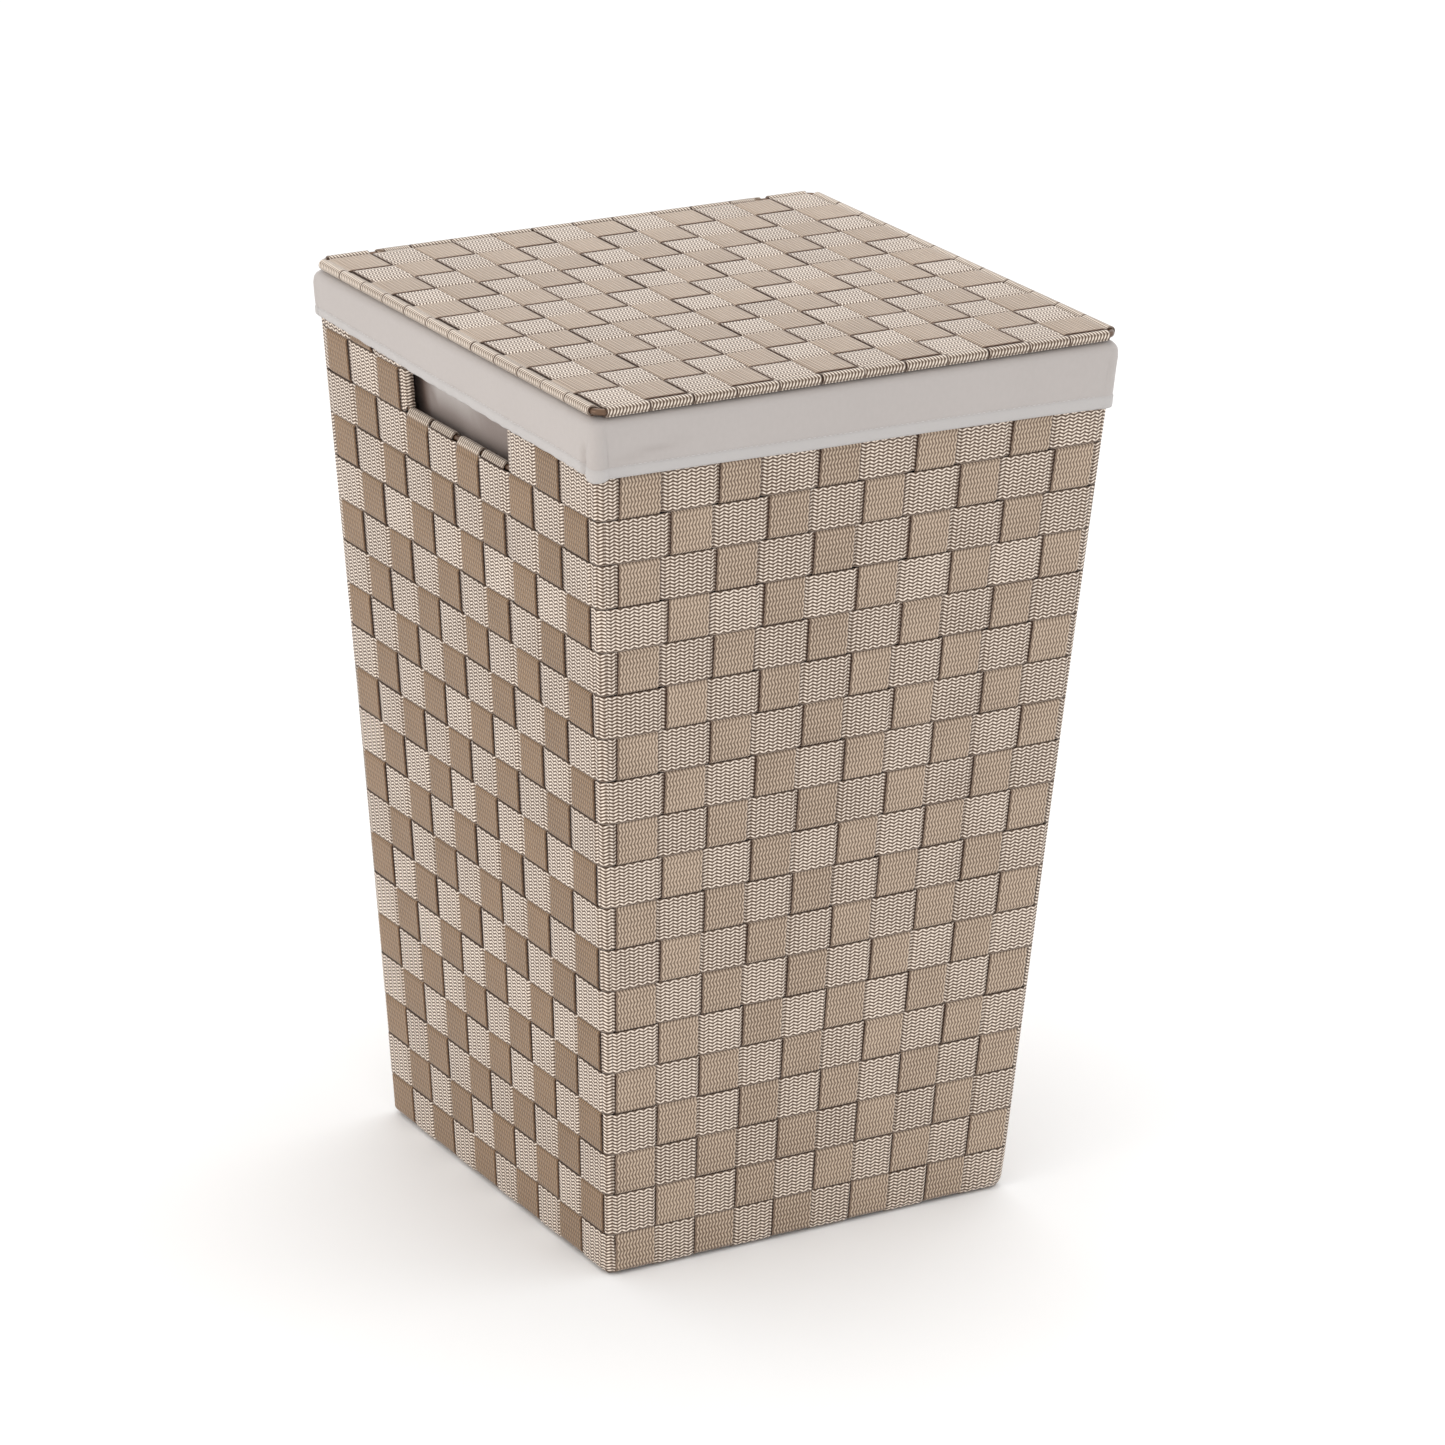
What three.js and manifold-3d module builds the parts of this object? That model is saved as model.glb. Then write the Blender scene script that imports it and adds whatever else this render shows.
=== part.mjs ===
// A tapered square laundry hamper: webbing straps woven over a wire frame, a fabric liner
// folded over the rim, and a woven lid that turns on two loops at the back.
// Millimetres, +Z up, the floor at z = 0, the front face towards -Y, handle holes in the -X and +X faces.
import * as THREE from 'three';
import { mergeVertices } from 'three/addons/utils/BufferGeometryUtils.js';
import Module from 'manifold-3d';

const wasm = await Module();
wasm.setup();

// ---- Driving dimensions ----
const LID_HALF = 161;         // half of the lid's outer width
const TOTAL_H = 513;          // floor to the top of the lid
const BASE_HALF = 129.3;      // half width of the weave at the floor
const RIM_HALF = 159.7;       // half width of the weave at the top of the rim
const STRAP_W = 24.6;         // width of every webbing strap
const STRAP_T = 1.2;          // thickness of the webbing
const WIRE_R = 2.4;           // radius of the frame wire
const GAP = 0.3;              // clearance between pieces that touch
const LINER_T = 1;            // thickness of the liner cloth

const COLUMNS = 10;           // upright straps across each face
const BASE_PITCH = 24.8;      // spacing of the upright straps at the floor
const ROWS = 20;              // bands up each face
const ROW_PITCH = 24.87;      // spacing of the bands
const ROW_START = 0.8;        // height where the first row begins
const FIRST_BAND_Z = 3;       // the lowest band starts above the turn of the uprights
const HOLE_ROW = 18;          // the handle holes begin above this row
const HOLE_PITCHES = 2;       // half width of a handle hole, in upright spacings

const BAND_CORNER = 5;        // outer radius of a band at the corner of the body
const FOOT_FILLET = 4.6;      // outer radius of an upright where it turns under the base
const TAIL = 2;               // length of a strap's end past the inner side of a wire
const CUFF_DROP = 29.4;       // how far the liner cuff hangs below the top of the fold
const LINER_INSET = 11;       // liner bag to the outer face of the weave
const LID_WIRE_CORNER = 6;    // corner radius of the lid wire
const LID_STRAP_SPAN = 150.5; // half width of each lid strap layer, inside the wire's corners
const LID_STRAPS = 12;        // straps each way in the lid
const HINGE_W = 4;            // width of a hinge loop

// ---- Values that follow from them ----
const ROLL_R = WIRE_R + GAP + STRAP_T / 2;            // middle of a strap rolled round a wire
const ROLL_OUT = ROLL_R + STRAP_T / 2;
const LEG_MID = STRAP_T * 1.5 + GAP;                  // depth of the upright layer below the face
const WIRE_IN = LEG_MID + ROLL_R;                     // depth of the rim and handle wires
const LID_WIRE_Z = TOTAL_H - ROLL_OUT;
const LID_WIRE_HALF = LID_HALF - ROLL_OUT;
const FOLD_TOP_Z = LID_WIRE_Z - ROLL_OUT - GAP;       // top of the liner where it folds over
const RIM_TOP_Z = FOLD_TOP_Z - LINER_T - GAP;
const RIM_Z = RIM_TOP_Z - ROLL_OUT;
const BAR_Z = ROW_START + ROW_PITCH * HOLE_ROW;       // bottom wire of each handle hole
const POST_IN = 7;                                    // depth of the corner posts
const BASE_WIRE_IN = 6.3;
const BASE_WIRE_Z = 5.9;

const wallHalf = (z) => BASE_HALF + (RIM_HALF - BASE_HALF) * z / RIM_TOP_Z;
const fan = (z) => wallHalf(z) / BASE_HALF;           // the uprights spread as the body widens
const HINGE_X = 4 * BASE_PITCH * fan(RIM_Z);          // between the first two uprights at the back
const HOLE_HALF = HOLE_PITCHES * BASE_PITCH;

// ---- Finishes ----
const webbing = new THREE.MeshStandardMaterial({ color: 0xb7a48c, roughness: 0.75, metalness: 0 });
const bronze = new THREE.MeshStandardMaterial({ color: 0x6b5238, roughness: 0.38, metalness: 0.6 });
const cotton = new THREE.MeshStandardMaterial({ color: 0xcfc8bf, roughness: 0.9, metalness: 0 });

// ---- Solids and surfaces ----

function solidOf(geometry) {
  const bare = geometry.clone();
  bare.deleteAttribute('normal');
  bare.deleteAttribute('uv');
  const merged = mergeVertices(bare, 1e-4);
  return new wasm.Manifold(new wasm.Mesh({
    numProp: 3,
    vertProperties: new Float32Array(merged.attributes.position.array),
    triVerts: new Uint32Array(merged.index.array),
  }));
}

function geometryOf(solid) {
  const mesh = solid.getMesh();
  const geometry = new THREE.BufferGeometry();
  geometry.setAttribute('position', new THREE.BufferAttribute(mesh.vertProperties, 3));
  geometry.setIndex(new THREE.BufferAttribute(mesh.triVerts, 1));
  return geometry;
}

function boxSolid(low, high) {
  const size = high.map((value, axis) => value - low[axis]);
  const box = new THREE.BoxGeometry(...size);
  box.translate(...low.map((value, axis) => value + size[axis] / 2));
  return solidOf(box);
}

function signedVolume(points, faces) {
  let sum = 0;
  for (const [a, b, c] of faces) {
    sum += points[a].dot(points[b].clone().cross(points[c]));
  }
  return sum / 6;
}

// A skin through rings of points. A closed skin joins its last ring to its first,
// and an open one is capped at both ends.
function skin(rings, closed) {
  const count = rings[0].length;
  const points = rings.flat();
  const faces = [];
  const spans = closed ? rings.length : rings.length - 1;
  for (let r = 0; r < spans; r += 1) {
    const here = r * count;
    const next = ((r + 1) % rings.length) * count;
    for (let i = 0; i < count; i += 1) {
      const j = (i + 1) % count;
      faces.push([here + i, here + j, next + j], [here + i, next + j, next + i]);
    }
  }
  if (!closed) {
    const last = (rings.length - 1) * count;
    for (let i = 1; i < count - 1; i += 1) {
      faces.push([0, i + 1, i], [last, last + i, last + i + 1]);
    }
  }
  if (signedVolume(points, faces) < 0) {
    faces.forEach((face) => face.reverse());
  }
  const geometry = new THREE.BufferGeometry().setFromPoints(points);
  geometry.setIndex(faces.flat());
  return geometry;
}

// Points along an arc in a plane, first and last included.
function arc(x, y, rx, ry, from, to, steps) {
  const points = [];
  for (let i = 0; i <= steps; i += 1) {
    const angle = THREE.MathUtils.degToRad(from + (to - from) * i / steps);
    points.push(new THREE.Vector2(x + rx * Math.cos(angle), y + ry * Math.sin(angle)));
  }
  return points;
}

// A level square with rounded corners.
function squareRing(half, radius, z) {
  const c = half - radius;
  const corners = [[c, c, 0], [-c, c, 90], [-c, -c, 180], [c, -c, 270]];
  return corners.flatMap(([x, y, turn]) => arc(x, y, radius, radius, turn, turn + 90, 4))
    .map((p) => new THREE.Vector3(p.x, p.y, z));
}

function squareWire(half, cornerRadius, z) {
  const section = arc(0, 0, WIRE_R, WIRE_R, 0, 330, 11);
  return skin(section.map((p) => squareRing(half + p.x, cornerRadius + p.x, z + p.y)), true);
}

// A straight-sided wire through points that lie in one plane.
function wireAlong(points, planeNormal) {
  const normal = planeNormal.clone().normalize();
  const rings = points.map((point, i) => {
    const before = points[Math.max(i - 1, 0)];
    const after = points[Math.min(i + 1, points.length - 1)];
    const side = after.clone().sub(before).normalize().cross(normal);
    return arc(0, 0, WIRE_R, WIRE_R, 0, 324, 9)
      .map((p) => point.clone().addScaledVector(side, p.x).addScaledVector(normal, p.y));
  });
  return skin(rings, false);
}

// The outline of a ribbon of even thickness round its middle line.
function ribbon(line, thickness) {
  const left = [];
  const right = [];
  line.forEach((point, i) => {
    const into = point.clone().sub(line[Math.max(i - 1, 0)]).normalize();
    const out = line[Math.min(i + 1, line.length - 1)].clone().sub(point).normalize();
    const along = into.clone().add(out).normalize();
    const across = new THREE.Vector2(-along.y, along.x);
    const stretch = Math.max(along.dot(i === 0 ? out : into), 0.5);
    const reach = thickness / 2 / stretch;
    left.push(point.clone().addScaledVector(across, reach));
    right.unshift(point.clone().addScaledVector(across, -reach));
  });
  return new THREE.Shape([...left, ...right]);
}

function extrude(shape, depth) {
  const geometry = new THREE.ExtrudeGeometry(shape, { depth, bevelEnabled: false, curveSegments: 8 });
  geometry.translate(0, 0, -depth / 2);
  return geometry;
}

// Turns a profile drawn in (across, up) so that its thickness lies along X or along Y.
const ALONG_X = new THREE.Matrix4().makeBasis(
  new THREE.Vector3(0, 1, 0), new THREE.Vector3(0, 0, 1), new THREE.Vector3(1, 0, 0));
const ALONG_Y = new THREE.Matrix4().makeBasis(
  new THREE.Vector3(1, 0, 0), new THREE.Vector3(0, 0, 1), new THREE.Vector3(0, -1, 0));

function moveVertices(geometry, move) {
  const position = geometry.attributes.position;
  const point = new THREE.Vector3();
  for (let i = 0; i < position.count; i += 1) {
    point.fromBufferAttribute(position, i);
    move(point);
    position.setXYZ(i, point.x, point.y, point.z);
  }
  return geometry;
}

// ---- Frame ----

function cornerPost(sx, sy) {
  const low = BASE_WIRE_Z + WIRE_R + GAP * 2;
  const high = RIM_Z - WIRE_R - GAP * 2;
  const ends = [low, high].map((z) => {
    const reach = wallHalf(z) - POST_IN;
    return new THREE.Vector3(sx * reach, sy * reach, z);
  });
  return wireAlong(ends, new THREE.Vector3(sy, -sx, 0));
}

// A U of wire hung under the rim, framing a handle hole. Its bar holds the cut uprights.
function handleWire(side) {
  const bend = WIRE_R + 0.1;
  const top = RIM_Z - WIRE_R - GAP;
  const barHalf = HOLE_HALF * fan(BAR_Z);
  const foot = arc(bend - barHalf, BAR_Z + bend, bend, bend, 180, 270, 4);
  const half = [new THREE.Vector2(-HOLE_HALF * fan(top), top), ...foot];
  const mirrored = half.map((p) => new THREE.Vector2(-p.x, p.y)).reverse();
  const points = [...half, ...mirrored]
    .map((p) => new THREE.Vector3(side * (wallHalf(p.y) - WIRE_IN), p.x, p.y));
  const slope = (RIM_HALF - BASE_HALF) / RIM_TOP_Z;
  return wireAlong(points, new THREE.Vector3(1, 0, -side * slope));
}

// ---- Upright straps ----

// Half of an upright's middle line: tail inside the wire, over it, down the face, under the base.
function uprightHalf(wireZ, baseZ) {
  const wire = wallHalf(wireZ) - WIRE_IN;
  const tailEnd = new THREE.Vector2(wallHalf(wireZ - TAIL) - WIRE_IN - ROLL_R, wireZ - TAIL);
  const overWire = arc(wire, wireZ, ROLL_R, ROLL_R, 180, 0, 7);
  const turn = FOOT_FILLET - STRAP_T / 2;
  const footZ = baseZ + turn;
  const foot = arc(wallHalf(footZ) - LEG_MID - turn, footZ, turn, turn, 0, -90, 4);
  return [tailEnd, ...overWire, ...foot];
}

function uprightStrap(column, basis, baseZ, wireZ) {
  const half = uprightHalf(wireZ, baseZ);
  const mirrored = half.map((p) => new THREE.Vector2(-p.x, p.y)).reverse();
  const strap = extrude(ribbon([...half, ...mirrored], STRAP_T), STRAP_W).applyMatrix4(basis);
  const centre = (column - (COLUMNS + 1) / 2) * BASE_PITCH;
  const lateral = basis === ALONG_X ? 'x' : 'y';
  return moveVertices(strap, (p) => { p[lateral] += centre * fan(p.z); });
}

// ---- Bands ----

function rowSpan(row) {
  const low = row === 1 ? FIRST_BAND_Z : ROW_START + ROW_PITCH * (row - 1) + GAP / 2;
  const high = row === ROWS ? RIM_Z - WIRE_R - GAP * 1.5 : ROW_START + ROW_PITCH * row - GAP / 2;
  return [low, high];
}

function ringBand(row) {
  const [low, high] = rowSpan(row);
  const inner = BAND_CORNER - STRAP_T;
  return skin([
    squareRing(wallHalf(low), BAND_CORNER, low),
    squareRing(wallHalf(high), BAND_CORNER, high),
    squareRing(wallHalf(high) - STRAP_T, inner, high),
    squareRing(wallHalf(low) - STRAP_T, inner, low),
  ], true);
}

// A band cut off at the handle holes, seen from above: both ends roll round the handle wires.
function cutBand(row, side) {
  const [low, high] = rowSpan(row);
  const half = wallHalf(low);
  const wireX = WIRE_IN - half;
  const wireY = -HOLE_HALF * fan(low);
  const face = STRAP_T / 2 - half;
  const bend = BAND_CORNER - STRAP_T / 2;
  const centre = BAND_CORNER - half;
  const leftHalf = [
    new THREE.Vector2(wireX + ROLL_R, wireY - 2),
    ...arc(wireX, wireY, ROLL_R, ROLL_R, 0, 180, 8),
    new THREE.Vector2(face, wireY - 2.8),
    ...arc(centre, centre, bend, bend, 180, 270, 4),
  ];
  const rightHalf = leftHalf.map((p) => new THREE.Vector2(-p.x, p.y)).reverse();
  const band = extrude(ribbon([...leftHalf, ...rightHalf], STRAP_T), high - low);
  band.translate(0, 0, (low + high) / 2);
  moveVertices(band, (p) => {
    const spread = wallHalf(p.z) / half;
    p.x *= spread;
    p.y *= spread;
  });
  if (side === 'back') {
    band.rotateZ(Math.PI);
  }
  return row === HOLE_ROW + 1 ? clearOfBar(band, side) : band;
}

// The rolled ends of the row beside the hole start just above the bar and its bends.
function clearOfBar(band, side) {
  const reach = wallHalf(BAR_Z) + 1;
  const hookEnd = HOLE_HALF * fan(BAR_Z) + 3.4;
  const clearZ = BAR_Z + ROLL_OUT + GAP;
  const [near, far] = side === 'back' ? [0, hookEnd] : [-hookEnd, 0];
  return geometryOf(solidOf(band).subtract(boxSolid([-reach, near, 0], [reach, far, clearZ])));
}

// ---- Liner ----

function linerBag() {
  const seamZ = RIM_Z - WIRE_R;
  const floorZ = 2 * STRAP_T + 2 * GAP;
  const outer = (z) => wallHalf(z) - LINER_INSET;
  return skin([
    squareRing(outer(floorZ) - LINER_T, 8, floorZ + LINER_T),
    squareRing(outer(seamZ) - LINER_T, 8, seamZ),
    squareRing(outer(seamZ), 9, seamZ),
    squareRing(outer(floorZ), 9, floorZ),
  ], false);
}

// The cuff rises from the bag, folds over the rim and hangs outside the weave.
function linerCuff() {
  const seamZ = RIM_Z - WIRE_R + GAP;
  const hemZ = FOLD_TOP_Z - CUFF_DROP;
  const ridge = wallHalf(RIM_Z) - WIRE_IN;
  const reach = WIRE_IN + GAP;
  const rise = ROLL_OUT + GAP;
  const hem = wallHalf(hemZ);
  const profile = [
    new THREE.Vector2(hem + 2, hemZ),
    ...arc(ridge, RIM_Z, reach + LINER_T, rise + LINER_T, 0, 180, 8),
    new THREE.Vector2(ridge - reach - LINER_T, seamZ),
    new THREE.Vector2(ridge - reach, seamZ),
    ...arc(ridge, RIM_Z, reach, rise, 180, 0, 8),
    new THREE.Vector2(hem + 0.8, hemZ),
  ];
  const cornerRadius = (half) => THREE.MathUtils.mapLinear(half, ridge - reach, ridge + reach, 8.5, 5.5);
  const rings = profile.map((p) => squareRing(p.x, cornerRadius(p.x), p.y));
  let cuff = solidOf(skin(rings, true));
  for (const sx of [-1, 1]) {
    cuff = cuff.subtract(hingeSlot(sx, ridge - ROLL_OUT - 2 * GAP, RIM_Z - WIRE_R - GAP, TOTAL_H));
  }
  return geometryOf(cuff);
}

// ---- Lid ----

// One layer of lid straps from the side: a flat sheet with a roll round the wire at each end.
// level is 1 for the layer above the middle of the lid and -1 for the one below it.
function lidLayer(level, basis) {
  const near = level * GAP / 2;
  const far = level * (GAP / 2 + STRAP_T);
  const degrees = (z) => THREE.MathUtils.radToDeg(Math.asin(z / ROLL_OUT));
  const [start, end] = level > 0 ? [degrees(far), degrees(near) + 360] : [degrees(near), degrees(far) + 360];
  const leftRoll = arc(-LID_WIRE_HALF, 0, ROLL_OUT, ROLL_OUT, start, end, 14);
  const rightRoll = leftRoll.map((p) => new THREE.Vector2(-p.x, p.y)).reverse();
  const shape = new THREE.Shape([...leftRoll, ...rightRoll]);
  for (const s of [-1, 1]) {
    const hole = arc(s * LID_WIRE_HALF, 0, WIRE_R + GAP, WIRE_R + GAP, 0, 330, 11);
    shape.holes.push(new THREE.Path(hole));
  }
  const layer = extrude(shape, 2 * LID_STRAP_SPAN).applyMatrix4(basis);
  return layer.translate(0, 0, LID_WIRE_Z);
}

// Shallow slits mark off the straps, which lie edge to edge and are joined into one layer.
function slitLayer(layer, axis) {
  const pitch = 2 * LID_STRAP_SPAN / LID_STRAPS;
  const slitZ = LID_WIRE_Z + GAP / 2 + STRAP_T / 2;
  let solid = solidOf(layer);
  for (let i = 1; i < LID_STRAPS; i += 1) {
    const at = i * pitch - LID_STRAP_SPAN;
    const low = [-LID_HALF - 1, -LID_HALF - 1, slitZ];
    const high = [LID_HALF + 1, LID_HALF + 1, TOTAL_H + 1];
    low[axis] = at - GAP;
    high[axis] = at + GAP;
    solid = solid.subtract(boxSolid(low, high));
  }
  return solid;
}

function lengthwiseStraps() {
  let layer = slitLayer(lidLayer(1, ALONG_X), 0);
  for (const sx of [-1, 1]) {
    layer = layer.subtract(hingeSlot(sx, LID_WIRE_HALF - ROLL_OUT - GAP, 0, TOTAL_H + 1));
  }
  return geometryOf(layer);
}

function crosswiseStraps() {
  return geometryOf(slitLayer(lidLayer(-1, ALONG_Y), 1));
}

// ---- Hinge loops ----

function hingeSlot(sx, nearY, lowZ, highZ) {
  const x = sx * HINGE_X;
  const half = HINGE_W / 2 + 2 * GAP;
  return boxSolid([x - half, nearY, lowZ], [x + half, LID_HALF + 2, highZ]);
}

// A narrow strap closed in a loop round the rim wire and the lid wire, which turns inside it.
function hingeLoop(sx) {
  const low = new THREE.Vector2(wallHalf(RIM_Z) - WIRE_IN, RIM_Z);
  const high = new THREE.Vector2(LID_WIRE_HALF, LID_WIRE_Z);
  const lean = THREE.MathUtils.radToDeg(high.clone().sub(low).angle());
  const outline = (radius) => [
    ...arc(low.x, low.y, radius, radius, lean + 90, lean + 270, 8),
    ...arc(high.x, high.y, radius, radius, lean - 90, lean + 90, 8),
  ];
  const shape = new THREE.Shape(outline(ROLL_OUT));
  shape.holes.push(new THREE.Path(outline(WIRE_R + GAP)));
  return extrude(shape, HINGE_W).applyMatrix4(ALONG_X).translate(sx * HINGE_X, 0, 0);
}

// ---- The hamper ----

const hamper = new THREE.Group();

function add(name, geometry, material) {
  const mesh = new THREE.Mesh(geometry, material);
  mesh.name = name;
  hamper.add(mesh);
}

const twoDigits = (n) => String(n).padStart(2, '0');

add('rim_wire', squareWire(wallHalf(RIM_Z) - WIRE_IN, 4, RIM_Z), bronze);
add('base_wire', squareWire(wallHalf(BASE_WIRE_Z) - BASE_WIRE_IN, 3, BASE_WIRE_Z), bronze);
for (const [front, sy] of [['front', -1], ['back', 1]]) {
  for (const [left, sx] of [['left', -1], ['right', 1]]) {
    add(`corner_post_${front}_${left}`, cornerPost(sx, sy), bronze);
  }
}
add('handle_wire_left', handleWire(-1), bronze);
add('handle_wire_right', handleWire(1), bronze);

for (let column = 1; column <= COLUMNS; column += 1) {
  const fromMiddle = Math.abs(column - (COLUMNS + 1) / 2);
  const topWire = fromMiddle < HOLE_PITCHES ? BAR_Z : RIM_Z;
  const lowBase = STRAP_T / 2;
  const highBase = STRAP_T * 1.5 + GAP;
  add(`side_upright_${twoDigits(column)}`, uprightStrap(column, ALONG_Y, lowBase, topWire), webbing);
  add(`front_upright_${twoDigits(column)}`, uprightStrap(column, ALONG_X, highBase, RIM_Z), webbing);
}

for (let row = 1; row <= ROWS; row += 1) {
  if (row <= HOLE_ROW) {
    add(`band_${twoDigits(row)}`, ringBand(row), webbing);
  } else {
    add(`band_${twoDigits(row)}_front`, cutBand(row, 'front'), webbing);
    add(`band_${twoDigits(row)}_back`, cutBand(row, 'back'), webbing);
  }
}

add('liner_bag', linerBag(), cotton);
add('liner_cuff', linerCuff(), cotton);

add('lid_wire', squareWire(LID_WIRE_HALF, LID_WIRE_CORNER, LID_WIRE_Z), bronze);
add('lid_straps_lengthwise', lengthwiseStraps(), webbing);
add('lid_straps_crosswise', crosswiseStraps(), webbing);

add('hinge_loop_left', hingeLoop(-1), webbing);
add('hinge_loop_right', hingeLoop(1), webbing);

export default hamper;
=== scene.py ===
"""A tapered laundry hamper: webbing straps woven over a wire frame, a cloth liner and a hinged lid.

Lengths are in metres, +Z is up and the front face looks towards -Y. The four faces are numbered
0 front, 1 right, 2 back and 3 left, and each is drawn as it is seen from outside.
"""
import math
import random

import bpy
import numpy as np
from mathutils import Matrix, Vector, noise


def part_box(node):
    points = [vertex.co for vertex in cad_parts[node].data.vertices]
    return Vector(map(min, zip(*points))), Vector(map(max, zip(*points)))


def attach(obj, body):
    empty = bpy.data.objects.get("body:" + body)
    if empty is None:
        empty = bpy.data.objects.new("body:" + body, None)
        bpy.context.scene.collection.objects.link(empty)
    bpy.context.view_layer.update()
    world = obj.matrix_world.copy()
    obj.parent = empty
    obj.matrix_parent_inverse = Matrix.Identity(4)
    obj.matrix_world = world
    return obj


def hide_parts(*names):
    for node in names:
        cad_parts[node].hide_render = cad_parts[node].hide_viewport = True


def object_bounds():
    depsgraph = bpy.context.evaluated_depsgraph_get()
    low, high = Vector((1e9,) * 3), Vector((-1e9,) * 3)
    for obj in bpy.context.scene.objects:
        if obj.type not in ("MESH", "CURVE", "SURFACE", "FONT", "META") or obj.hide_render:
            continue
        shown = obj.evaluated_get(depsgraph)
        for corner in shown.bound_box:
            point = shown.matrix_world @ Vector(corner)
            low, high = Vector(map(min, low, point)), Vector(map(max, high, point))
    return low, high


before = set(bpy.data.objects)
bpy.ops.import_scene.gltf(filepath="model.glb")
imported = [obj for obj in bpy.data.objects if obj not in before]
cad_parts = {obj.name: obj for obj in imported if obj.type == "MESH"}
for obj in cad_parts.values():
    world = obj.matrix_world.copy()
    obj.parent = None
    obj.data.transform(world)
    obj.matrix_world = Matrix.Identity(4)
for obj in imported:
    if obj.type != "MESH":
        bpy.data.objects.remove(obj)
cad_low, cad_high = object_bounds()

MM = 0.001

# ---- Straps, wire and cloth ----
STRAP_T = 1.0 * MM
STRAP_EDGE = 0.35 * MM        # the corners of a strap's outline are cut off this far in
LAYER_STEP = 1.25 * MM        # from the middle of the outer layer to the middle of the inner one
MID_DEPTH = 1.12 * MM         # from the face of the weave to the middle between its layers
UPRIGHT_W = 24.6 * MM
BAND_W = 24.5 * MM
LID_STRAP_W = 25.6 * MM
WIRE_R = 1.9 * MM
ROLL_R = 2.5 * MM             # middle of a strap rolled round a wire
ROLL_OUT = 3.0 * MM           # outer face of a strap rolled round a wire
WIRE_DEPTH = 4.5 * MM         # rim and handle wires, below the face of the weave
CAD_STRAP_W = 24.6 * MM
CAD_WIRE_R = 2.4 * MM
CLOTH_T = 0.8 * MM

# ---- The weave ----
COLUMNS = 10
ROWS = 20
FLOOR_PITCH = 24.9 * MM       # the uprights lie edge to edge at the floor and fan out upwards
HOLE_ROW = 18                 # the handle holes begin above this row
HOLE_COLUMNS = (4, 5, 6, 7)
TURN_HALF = 1.3 * MM          # half of the stretch where a strap passes from over to under
TURN_SHIFT = 0.5 * MM         # and how far that stretch lies inside the square that is on top
ROLL_TURN_HALF = 2.6 * MM     # half of the stretch where a strap comes from a wire onto the face
BELOW_WIRE = 3.0 * MM         # the middle of that stretch, below a rim or bar wire
BESIDE_WIRE = 3.4 * MM        # and beside a side wire of a handle hole
SHADE_REACH = 0.75 * MM       # width of the painted shade beside a strap that lies on top
CROWN = 0.12 * MM             # swelling in the middle of a square that is on top
CORNER_R = 4.8 * MM           # outer radius of a band at the corner of the body
CORNER_SPREAD = 2.5 * MM      # and how much larger it is at the floor
CORNER_RISE = 12 * MM         # height over which it shrinks
CORNER_ANGLES = (11, 22.5, 34, 45, 56, 67.5, 79)
FOOT_R = 5.0 * MM             # outer radius of an upright where it turns under the base
TAIL = 10 * MM                # end of a strap behind its wire
TAIL_LEAN = 0.12              # inward lean of an upright's tail
LOWEST = 1.2 * MM             # lower edge of the first band
FLARE = 2.0 * MM              # the soft weave spreads this much more at the rim than a flat wall
FACE_DRIFT = (4.5 * MM, 1.0 * MM, 0.0, -1.2 * MM)   # sideways lean of the uprights at the top
LOOSENESS = (1.3 * MM, 1.3 * MM, 0.4 * MM, 1.0 * MM)
WOBBLE = 0.448 * MM           # slow sideways wander of a strap
WOBBLE_LENGTH = 45 * MM
WOBBLE_FADE = 50 * MM         # the uprights lie straight at the floor and wander above this height
BAR_SLIP = ((4, 0.8 * MM), (5, -2.6 * MM), (6, -1.2 * MM), (7, -4.2 * MM))   # on the left face's bar

# ---- The lid ----
LID_STRAPS = 12
LID_PITCH = 25.9 * MM
LID_RISE = 1.2 * MM           # the woven sheet lies this far above the middle of the lid wire
LID_CORNER_R = 6 * MM
LID_LAND = 5 * MM             # where a strap lies flat again, from the middle of the lid wire
LID_LAP = 40                  # degrees past the top of the wire where a strap leaves it
LID_REACH = 0.8 * MM          # the lid wire lies this much further out than in the frame
LID_SLACK = 0.25 * MM         # unevenness of the spacing of the straps
HINGE_HALF_W = 2 * MM
SLOT_HALF = 2.3 * MM          # half width of the slot that a hinge loop passes through

# ---- The liner ----
BAG_GAP = 11.4 * MM           # from the face of the weave to the bag
BAG_FOOT_R = 10 * MM
CUFF_WIDTH = 62 * MM          # of the flat cloth, from the seam to the turned edge
CUFF_REACH = 156 * MM         # end of the flat part of a side, from its middle
CUFF_FOLD_R = 6.2 * MM
CUFF_FOLD_RISE = 5.4 * MM
HEM_LINE = 0.775              # the row of stitches, as a share of the way from the rim to the hem
HEM_TILT = (-0.0156, 0.0188)  # the liner sits slightly askew: hem height per metre of x and y
HEM_TURN = 0.22               # the turned edge inside the hem, as a share of the cuff's drop
STITCH_PITCH = 3.2 * MM
STITCH_R = 0.22 * MM


def wall_and_rows():
    """Half width of the weave at the floor and its growth per metre of height, and the height where
    the first row begins and the height of a row, from the upper edges of two bands."""
    first, last = 2, 17
    low, high = (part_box(f"band_{row:02d}")[1] for row in (first, last))
    slope = (high.x - low.x) / (high.z - low.z)
    pitch = (high.z - low.z) / (last - first)
    return low.x - slope * low.z, slope, low.z - first * pitch, pitch


def wire_ring(node):
    """Half width and height of a square wire's middle line."""
    low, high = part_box(node)
    return high.x - CAD_WIRE_R, (low.z + high.z) / 2


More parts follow.
